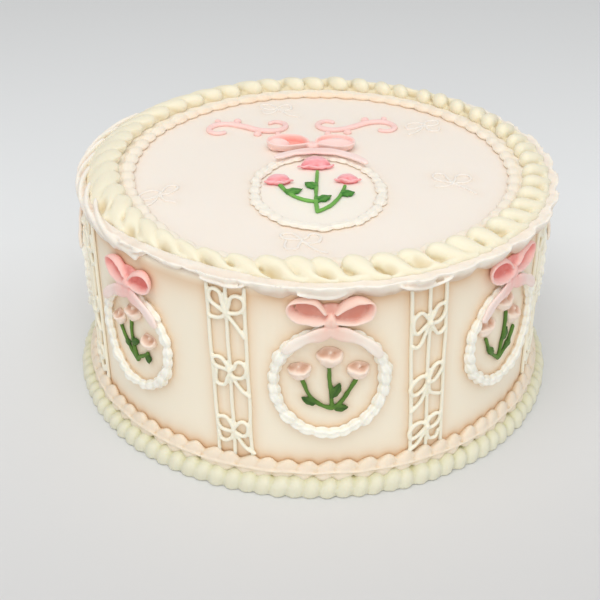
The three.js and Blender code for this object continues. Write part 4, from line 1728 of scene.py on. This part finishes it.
LEFT_BOTTOM = KnotPlan(
    [(0, 0.6), (-1.5, 4.2), (-4.1, 7.5), (-7.9, 6.6), (-8.6, 3.3), (-6.4, -0.4), (-2, -1),
     (0, -0.4)],
    [(0, 0.6), (2.3, 4.2), (4.9, 6.2), (7.5, 4.2), (7.5, -0.8), (4.9, -2.9), (1.9, -1.7),
     (0, -0.6)],
    [[(0, -1), (-1.1, -5), (-4.1, -7.5), (-7.1, -6.6), (-7.9, -2.5)],
     [(0.6, -1.4), (3.4, -5.8), (6.4, -10), (10.9, -12.5)]],
)
RIGHT_TOP = KnotPlan(
    [(0, 0.6), (-2.3, 4.2), (-5.3, 6.6), (-8.6, 3.3), (-8.6, -2.5), (-6.4, -5.4), (-3, -2.5),
     (0, 0)],
    [(0, 0.4), (1.9, 4.2), (3.8, 8.3), (7.5, 9.1), (8.6, 5.8), (7.5, 1.7), (4.5, -0.8), (0, -0.4)],
    [[(0.4, -0.8), (2.6, -4.2), (4.5, -7.5), (6.8, -7.5), (8.3, -5.8)],
     [(-0.4, -1), (-2.3, -6.6), (-3.8, -10.8), (-6, -13.3), (-8.6, -12)]],
)
RIGHT_MIDDLE = KnotPlan(
    [(0, 0.6), (-1.9, 3.3), (-4.9, 3.3), (-8.6, 0), (-9.8, -4.2), (-7.1, -7.1), (-3.4, -5.4),
     (0, -0.6)],
    [(0, 0.4), (1.1, 3.3), (2.3, 7.5), (5.6, 9.5), (7.9, 7.5), (7.1, 4.2), (3.4, -0.8), (0, -0.6)],
    [[(0.2, -1), (1.1, -5.8), (3, -8.3), (7.1, -10)],
     [(-0.4, -1), (-2.6, -10), (-5.6, -14.1), (-8.6, -17)]],
)
RIGHT_BOTTOM = KnotPlan(
    [(0, 0.6), (-3, 3.3), (-7.5, 2.5), (-10.1, -1.7), (-9, -5.8), (-5.3, -5), (-0.6, -0.6)],
    [(0, 0.6), (0.8, 4.2), (4.5, 6.6), (7.5, 5), (6.8, 0.8), (3, -1.7), (0, -0.6)],
    [[(0.2, -1), (0.8, -5.8), (2.3, -8.7), (6, -8.7), (7.1, -5)],
     [(-0.4, -1), (-3, -6.6), (-6, -10.6), (-9.8, -13.4)]],
)


def string_bow(plan: KnotPlan, thick: float, over: float, knot: float) -> list[Dab]:
    """Pipes a small string bow.

    Args:
        plan: its strokes.
        thick: the string's thickness in millimetres.
        over: how far it is lifted off the icing.
        knot: half the size of the blob at its middle.

    Returns:
        Its strokes and its knot.
    """
    dabs = [string(stroke, thick, over) for stroke in plan.strokes]
    up = over + 0.5 * thick
    blob = Dab().press(8, 6, lambda p: Vector((knot * p.x, 1.1 * knot * p.y, up + knot * p.z)))
    return [*dabs, blob.shade(lambda p, n: 0.0)]


@dataclass(frozen=True)
class PanelPlan:
    """How a panel's strings lean, and the heights and shapes of its bows."""

    head_shift: float
    foot_shift: float
    bows: Sequence[tuple[float, KnotPlan]]
    knot: float = 1.2


LEFT_PANEL = PanelPlan(-2.8, 0.2, [(101.7, LEFT_TOP), (68.1, LEFT_MIDDLE), (31.9, LEFT_BOTTOM)])
RIGHT_PANEL = PanelPlan(-1.7, 2.6, [(93.9, RIGHT_TOP), (58.8, RIGHT_MIDDLE), (30, RIGHT_BOTTOM)],
                        1.9)


@dataclass
class StringPanel:
    """Three hanging strings crossed by three string bows."""

    index: int
    degrees: float
    wall: float
    plan: PanelPlan
    pitch: float = 9.3
    low: float = 16.2
    high: float = 116.0
    thick: float = 2.3
    points: int = 7
    over: float = 0.7
    stray: float = 0.0
    first_seed: int = 60

    def shift(self, t: float) -> float:
        """How far the strings lie to the right at a share of their height."""
        return mix(self.plan.foot_shift, self.plan.head_shift, t)

    def build(self) -> None:
        """Pipes the strings, a little wavy, and the bows over them."""
        rng = random.Random(self.first_seed + self.index)
        piece = Piece(f"strings_{self.index}", STRING_CREAM, [f"string_panel_{self.index}"])
        spot = Wall(self.degrees, 0, self.wall)
        for column in (-1, 0, 1):
            points = []
            for i in range(self.points):
                t = i / (self.points - 1)
                shift = self.shift(t) + rng.uniform(-0.35, 0.35)
                right = column * self.pitch * mix(0.97, 1.03, t) + shift
                points.append((right, mix(self.low, self.high, t)))
            piece.add(string(points, self.thick).lay(spot))
        for height, bow in self.plan.bows:
            height += rng.uniform(-self.stray, self.stray)
            shift = self.shift((height - self.low) / (self.high - self.low))
            for dab in string_bow(bow, self.thick, self.over, self.plan.knot):
                piece.add(dab.lay(spot, Matrix.Translation((shift, height, 0))))
        piece.roughen(amount=0.15, scale=3)
        piece.done(melt=0.46, soften=2)


@dataclass
class TopScroll:
    """Lying scroll whose curve tightens evenly towards both ends."""

    index: int
    spot: Top
    heading: float
    hand: int
    half_length: float = 42
    curl: float = 270
    width: float = 4.6
    steps: int = 24
    pearls: Sequence[tuple[float, float, float]] = ((0.28, 2.1, 5.4), (0.42, 2.6, 5.4),
                                                    (0.58, 2.6, -5.4), (0.72, 2.1, -5.4))

    def arm(self, end: int) -> list[Flat]:
        """Points from the middle to one end."""
        x, y = 0.0, 0.0
        step = end * self.half_length / self.steps
        points = []
        for i in range(self.steps):
            curl = self.hand * self.curl * ((i + 0.5) / self.steps) ** 2
            turn = math.radians(self.heading + curl)
            x += step * math.cos(turn)
            y += step * math.sin(turn)
            points.append((x, y))
        return points

    def build(self) -> None:
        """Pipes the scroll, thinner towards its ends."""
        piece = Piece(f"scroll_{self.index}", SCROLL_PINK, [f"top_scroll_{self.index}"])
        points = [*reversed(self.arm(-1)), (0.0, 0.0), *self.arm(1)]
        last = len(points) - 1
        stops = []
        for i, (x, y) in enumerate(points):
            width = self.width * mix(0.72, 1.0, math.sin(math.pi * i / last))
            stops.append(Stop(Vector((x, y, 0.2 * width)), width, 0.7 * width))
        # Painted shade, deeper low on the scroll.
        dab = Dab().sweep(round_sections(rounded(stops)), 10).shade(lambda p, n: 0.5 - 0.3 * p.z)
        piece.add(dab.lay(self.spot))
        for place, size, beside in self.pearls:
            x, y = points[round(place * last)]
            pearl = Dab().press(12, 8, lambda p: size * Vector((p.x, p.y, 0.7 * p.z + 0.3)))
            above = Matrix.Translation((x, y + self.hand * beside, 0))
            # The pearls are painted with some shade.
            piece.add(pearl.shade(lambda p, n: 0.3).lay(self.spot, above))
        piece.roughen(amount=0.3, scale=5)
        piece.done(melt=0.5, soften=2)


@dataclass(frozen=True)
class MedallionPlan:
    """Where a medallion sits on the side, its size, and the bow and spray that it holds."""

    degrees: float
    height: float
    half_width: float
    half_height: float
    bow: BowPlan
    spray: SprayPlan
    ribbon: Icing = RIBBON_PINK
    rim_out: float = 5.2

    @property
    def scale(self) -> float:
        """Size of its bow and spray next to the front one's."""
        return self.half_width / FRONT_HALF_WIDTH


@dataclass
class Cake:
    """The whole cake, with its main sizes taken from the frame."""

    top_y: float = -28.0
    top_half_width: float = 34.0
    top_half_height: float = 42.0
    medallions: Sequence[MedallionPlan] = (
        MedallionPlan(0, 66.1, FRONT_HALF_WIDTH, 30.0, FRONT_BOW, FRONT_SPRAY),
        MedallionPlan(46.4, 68.6, 27.2, 28.4, SIDE_BOW, LEANING_SPRAY, RIBBON_ROSE),
        MedallionPlan(90, 65.9, 26.4, 29.0, FRONT_BOW, FRONT_SPRAY, RIBBON_PALE, 3.0),
        MedallionPlan(134, 66.3, 26.8, 29.4, SIDE_BOW, HOOKED_SPRAY),
        MedallionPlan(178, 65.2, 26.6, 29.2, FRONT_BOW, LEANING_SPRAY),
        MedallionPlan(222, 66.1, 26.2, 29.0, SIDE_BOW, FRONT_SPRAY),
        MedallionPlan(266, 65.6, 26.9, 29.6, FRONT_BOW, HOOKED_SPRAY, RIBBON_PALE, 3.0),
        MedallionPlan(310.8, 65.9, 24.6, 27.4, SIDE_BOW, HOOKED_SPRAY, RIBBON_ROSE),
    )
    panels: Sequence[tuple[float, PanelPlan]] = (
        (22.6, RIGHT_PANEL), (68, LEFT_PANEL), (112, RIGHT_PANEL), (156, LEFT_PANEL),
        (200, RIGHT_PANEL), (244, LEFT_PANEL), (288, RIGHT_PANEL), (338.5, LEFT_PANEL),
    )
    top_bows: Sequence[tuple[float, float, KnotPlan]] = (
        (88.5, -72, RIGHT_MIDDLE), (82.5, -8, LEFT_MIDDLE), (76.8, 74, LEFT_TOP),
        (90.7, 130, RIGHT_BOTTOM), (88.8, -168, LEFT_BOTTOM),
    )
    top_string: float = 1.6
    top_sink: float = 0.5
    top_knot: float = 1.0
    top_stretch: float = 1.15
    scrolls: Sequence[tuple[float, float, float, int]] = ((-37, 57, -34, 1), (28, 57, 34, -1))
    seam_drop: float = 1.2
    radius: float = field(init=False)
    height: float = field(init=False)

    def __post_init__(self) -> None:
        """Reads the cake's radius and height off the frame."""
        low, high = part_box("cake_body")
        self.radius = 0.5 * (high.x - low.x) / MM
        self.height = high.z / MM

    def build_borders(self) -> None:
        """Builds the borders round the top edge and the base."""
        bead_low, bead_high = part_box("base_bead_border")
        shell_low, shell_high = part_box("base_shells")
        RopeBorder(self.height).build()
        InnerShells(self.height).build()
        PetalRuffle(self.radius).build()
        BaseBeads(self.radius, 0.5 * (bead_high.x - bead_low.x) / MM).build()
        seam_height = 0.5 * (shell_low.z + shell_high.z) / MM - self.seam_drop
        BaseShells(self.radius, seam_height).build()

    def build_medallions(self) -> None:
        """Builds the medallions on the side and the one on the top."""
        for i, plan in enumerate(self.medallions, 1):
            suffix = f"side_{i}"
            spot = Wall(plan.degrees, plan.height, self.radius)
            wreath = Wreath(suffix, spot, plan.half_width, plan.half_height, SHELL_WHITE, seed=i)
            wreath.build()
            bow = RibbonBow(suffix, wreath, plan.bow, plan.ribbon, plan.scale, rim_out=plan.rim_out)
            bow.build()
            TulipSpray(suffix, spot, plan.spray, LEAF_GREEN, TULIP_BLUSH, Bloom.CUP, plan.scale,
                       seed=i).build()
        spot = Top(0, self.top_y, self.height)
        wreath = Wreath("top", spot, self.top_half_width, self.top_half_height, TOP_SHELL, rise=2.8)
        wreath.build()
        RibbonBow("top", wreath, TOP_BOW, TOP_PINK, above=10.5, rim_out=6.0).build()
        TulipSpray("top", spot, TOP_SPRAY, TOP_GREEN, TULIP_PINK, Bloom.DOME,
                   leaf_width=7.0).build()

    def build_string_work(self) -> None:
        """Builds the string panels, the small bows on the top and the scrolls."""
        for i, (degrees, plan) in enumerate(self.panels, 1):
            in_front = min(degrees, 360 - degrees) < 45
            StringPanel(i, degrees, self.radius, plan, stray=0 if in_front else 2).build()
        for i, (radius, degrees, plan) in enumerate(self.top_bows, 1):
            piece = Piece(f"string_bow_top_{i}", COAT_PIPED, [f"top_string_bow_{i}"])
            turn = math.radians(degrees)
            spot = Top(radius * math.sin(turn), -radius * math.cos(turn), self.height)
            for dab in string_bow(plan, self.top_string, -self.top_sink, self.top_knot):
                piece.add(dab.lay(spot, Matrix.Diagonal((self.top_stretch, 1, 1, 1))))
            piece.done(melt=0.4, soften=2)
        for i, (x, y, heading, hand) in enumerate(self.scrolls, 1):
            TopScroll(i, Top(x, y, self.height), heading, hand).build()

    def build(self) -> None:
        """Builds every piece in order, and last the coat, on which peach-tan shade is painted
        beside the piping.
        """
        self.build_borders()
        self.build_medallions()
        self.build_string_work()
        decorations = [made for made in bpy.context.scene.objects
                       if PAINTED_SHADE in getattr(made.data, "attributes", ())]
        pale_oval = (self.top_y, self.top_half_width, self.top_half_height)
        CakeBody(self.radius, self.height, pale_oval).build(decorations)


@dataclass(frozen=True)
class Lamp:
    """Square soft light that points at the cake: place and side in metres, power in watts."""

    name: str
    place: tuple[float, float, float]
    side: float
    power: float
    colour: Colour
    aim_height: float = 0.06

    def hang(self) -> None:
        """Adds the light to the scene."""
        data = bpy.data.lights.new(self.name, "AREA")
        data.size = self.side
        data.energy = self.power
        data.color = self.colour
        light = bpy.data.objects.new(self.name, data)
        away = Vector(self.place) - Vector((0, 0, self.aim_height))
        aim = away.to_track_quat("Z", "Y").to_matrix().to_4x4()
        light.matrix_world = Matrix.Translation(self.place) @ aim
        bpy.context.scene.collection.objects.link(light)


@dataclass
class Studio:
    """Pale floor, soft lights and the camera."""

    turn: float = -3.7
    elevation: float = 34.227
    distance: float = 703.1
    yaw: float = 0.669
    pitch: float = 2.328
    roll: float = -0.7466
    lens: float = 69.0
    sensor: float = 36.0
    floor_half: float = 6.0
    air_colour: tuple[float, float, float, float] = (0.985, 0.992, 1.0, 1.0)
    air_strength: float = 0.54
    lamps: Sequence[Lamp] = (
        Lamp("key", (-0.2, -0.6, 1.5), 1.3, 12.5, (1.0, 0.99, 0.975)),
        Lamp("front", (0.0, -1.6, 0.5), 1.2, 4.7, (1.0, 0.99, 0.97)),
        Lamp("fill", (1.3, -0.6, 1.0), 1.6, 2.0, (1.0, 0.99, 0.98)),
    )

    def camera(self) -> None:
        """Stands the camera in front of the cake, looking down at it."""
        right = Vector((1, 0, 0))
        tilt = math.radians(self.elevation)
        ahead = Vector((0, math.cos(tilt), -math.sin(tilt)))
        up = right.cross(ahead)
        yawed = Matrix.Rotation(math.radians(self.yaw), 3, up)
        pitched = Matrix.Rotation(math.radians(self.pitch), 3, right)
        look = pitched @ (yawed @ ahead)
        side = yawed @ right
        over = side.cross(look)
        lean = math.radians(self.roll)
        x_axis = math.cos(lean) * side - math.sin(lean) * over
        y_axis = math.sin(lean) * side + math.cos(lean) * over
        body = Matrix((x_axis, y_axis, -look)).transposed().to_4x4()
        place = Matrix.Translation(-ahead * self.distance * MM)
        round_cake = Matrix.Rotation(math.radians(self.turn), 4, "Z")
        data = bpy.data.cameras.new("camera")
        data.lens = self.lens
        data.sensor_width = self.sensor
        camera = bpy.data.objects.new("camera", data)
        camera.matrix_world = round_cake @ place @ body
        bpy.context.scene.collection.objects.link(camera)
        bpy.context.scene.camera = camera

    def floor(self) -> None:
        """Lays the floor."""
        bm = bmesh.new()
        bmesh.ops.create_grid(bm, x_segments=1, y_segments=1, size=self.floor_half)
        mesh = bpy.data.meshes.new("floor")
        bm.to_mesh(mesh)
        bm.free()
        mesh.materials.append(FloorPaint().material())
        floor = bpy.data.objects.new("floor", mesh)
        bpy.context.scene.collection.objects.link(floor)

    def air(self) -> None:
        """Sets the even light from all round."""
        world = bpy.data.worlds.new("studio")
        world.use_nodes = True
        background = world.node_tree.nodes["Background"]
        background.inputs["Color"].default_value = self.air_colour
        background.inputs["Strength"].default_value = self.air_strength
        bpy.context.scene.world = world

    def build(self) -> None:
        """Sets up the whole studio."""
        self.camera()
        self.floor()
        self.air()
        for lamp in self.lamps:
            lamp.hang()
        bpy.context.scene.view_settings.view_transform = "Standard"


def write_size() -> None:
    """Updates the view layer.
    """
    bpy.context.view_layer.update()


def main() -> None:
    """Builds the studio and the cake."""
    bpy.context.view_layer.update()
    noise.seed_set(NOISE_SEED)
    Studio().build()
    Cake().build()
    write_size()


if __name__ == "__main__":
    main()
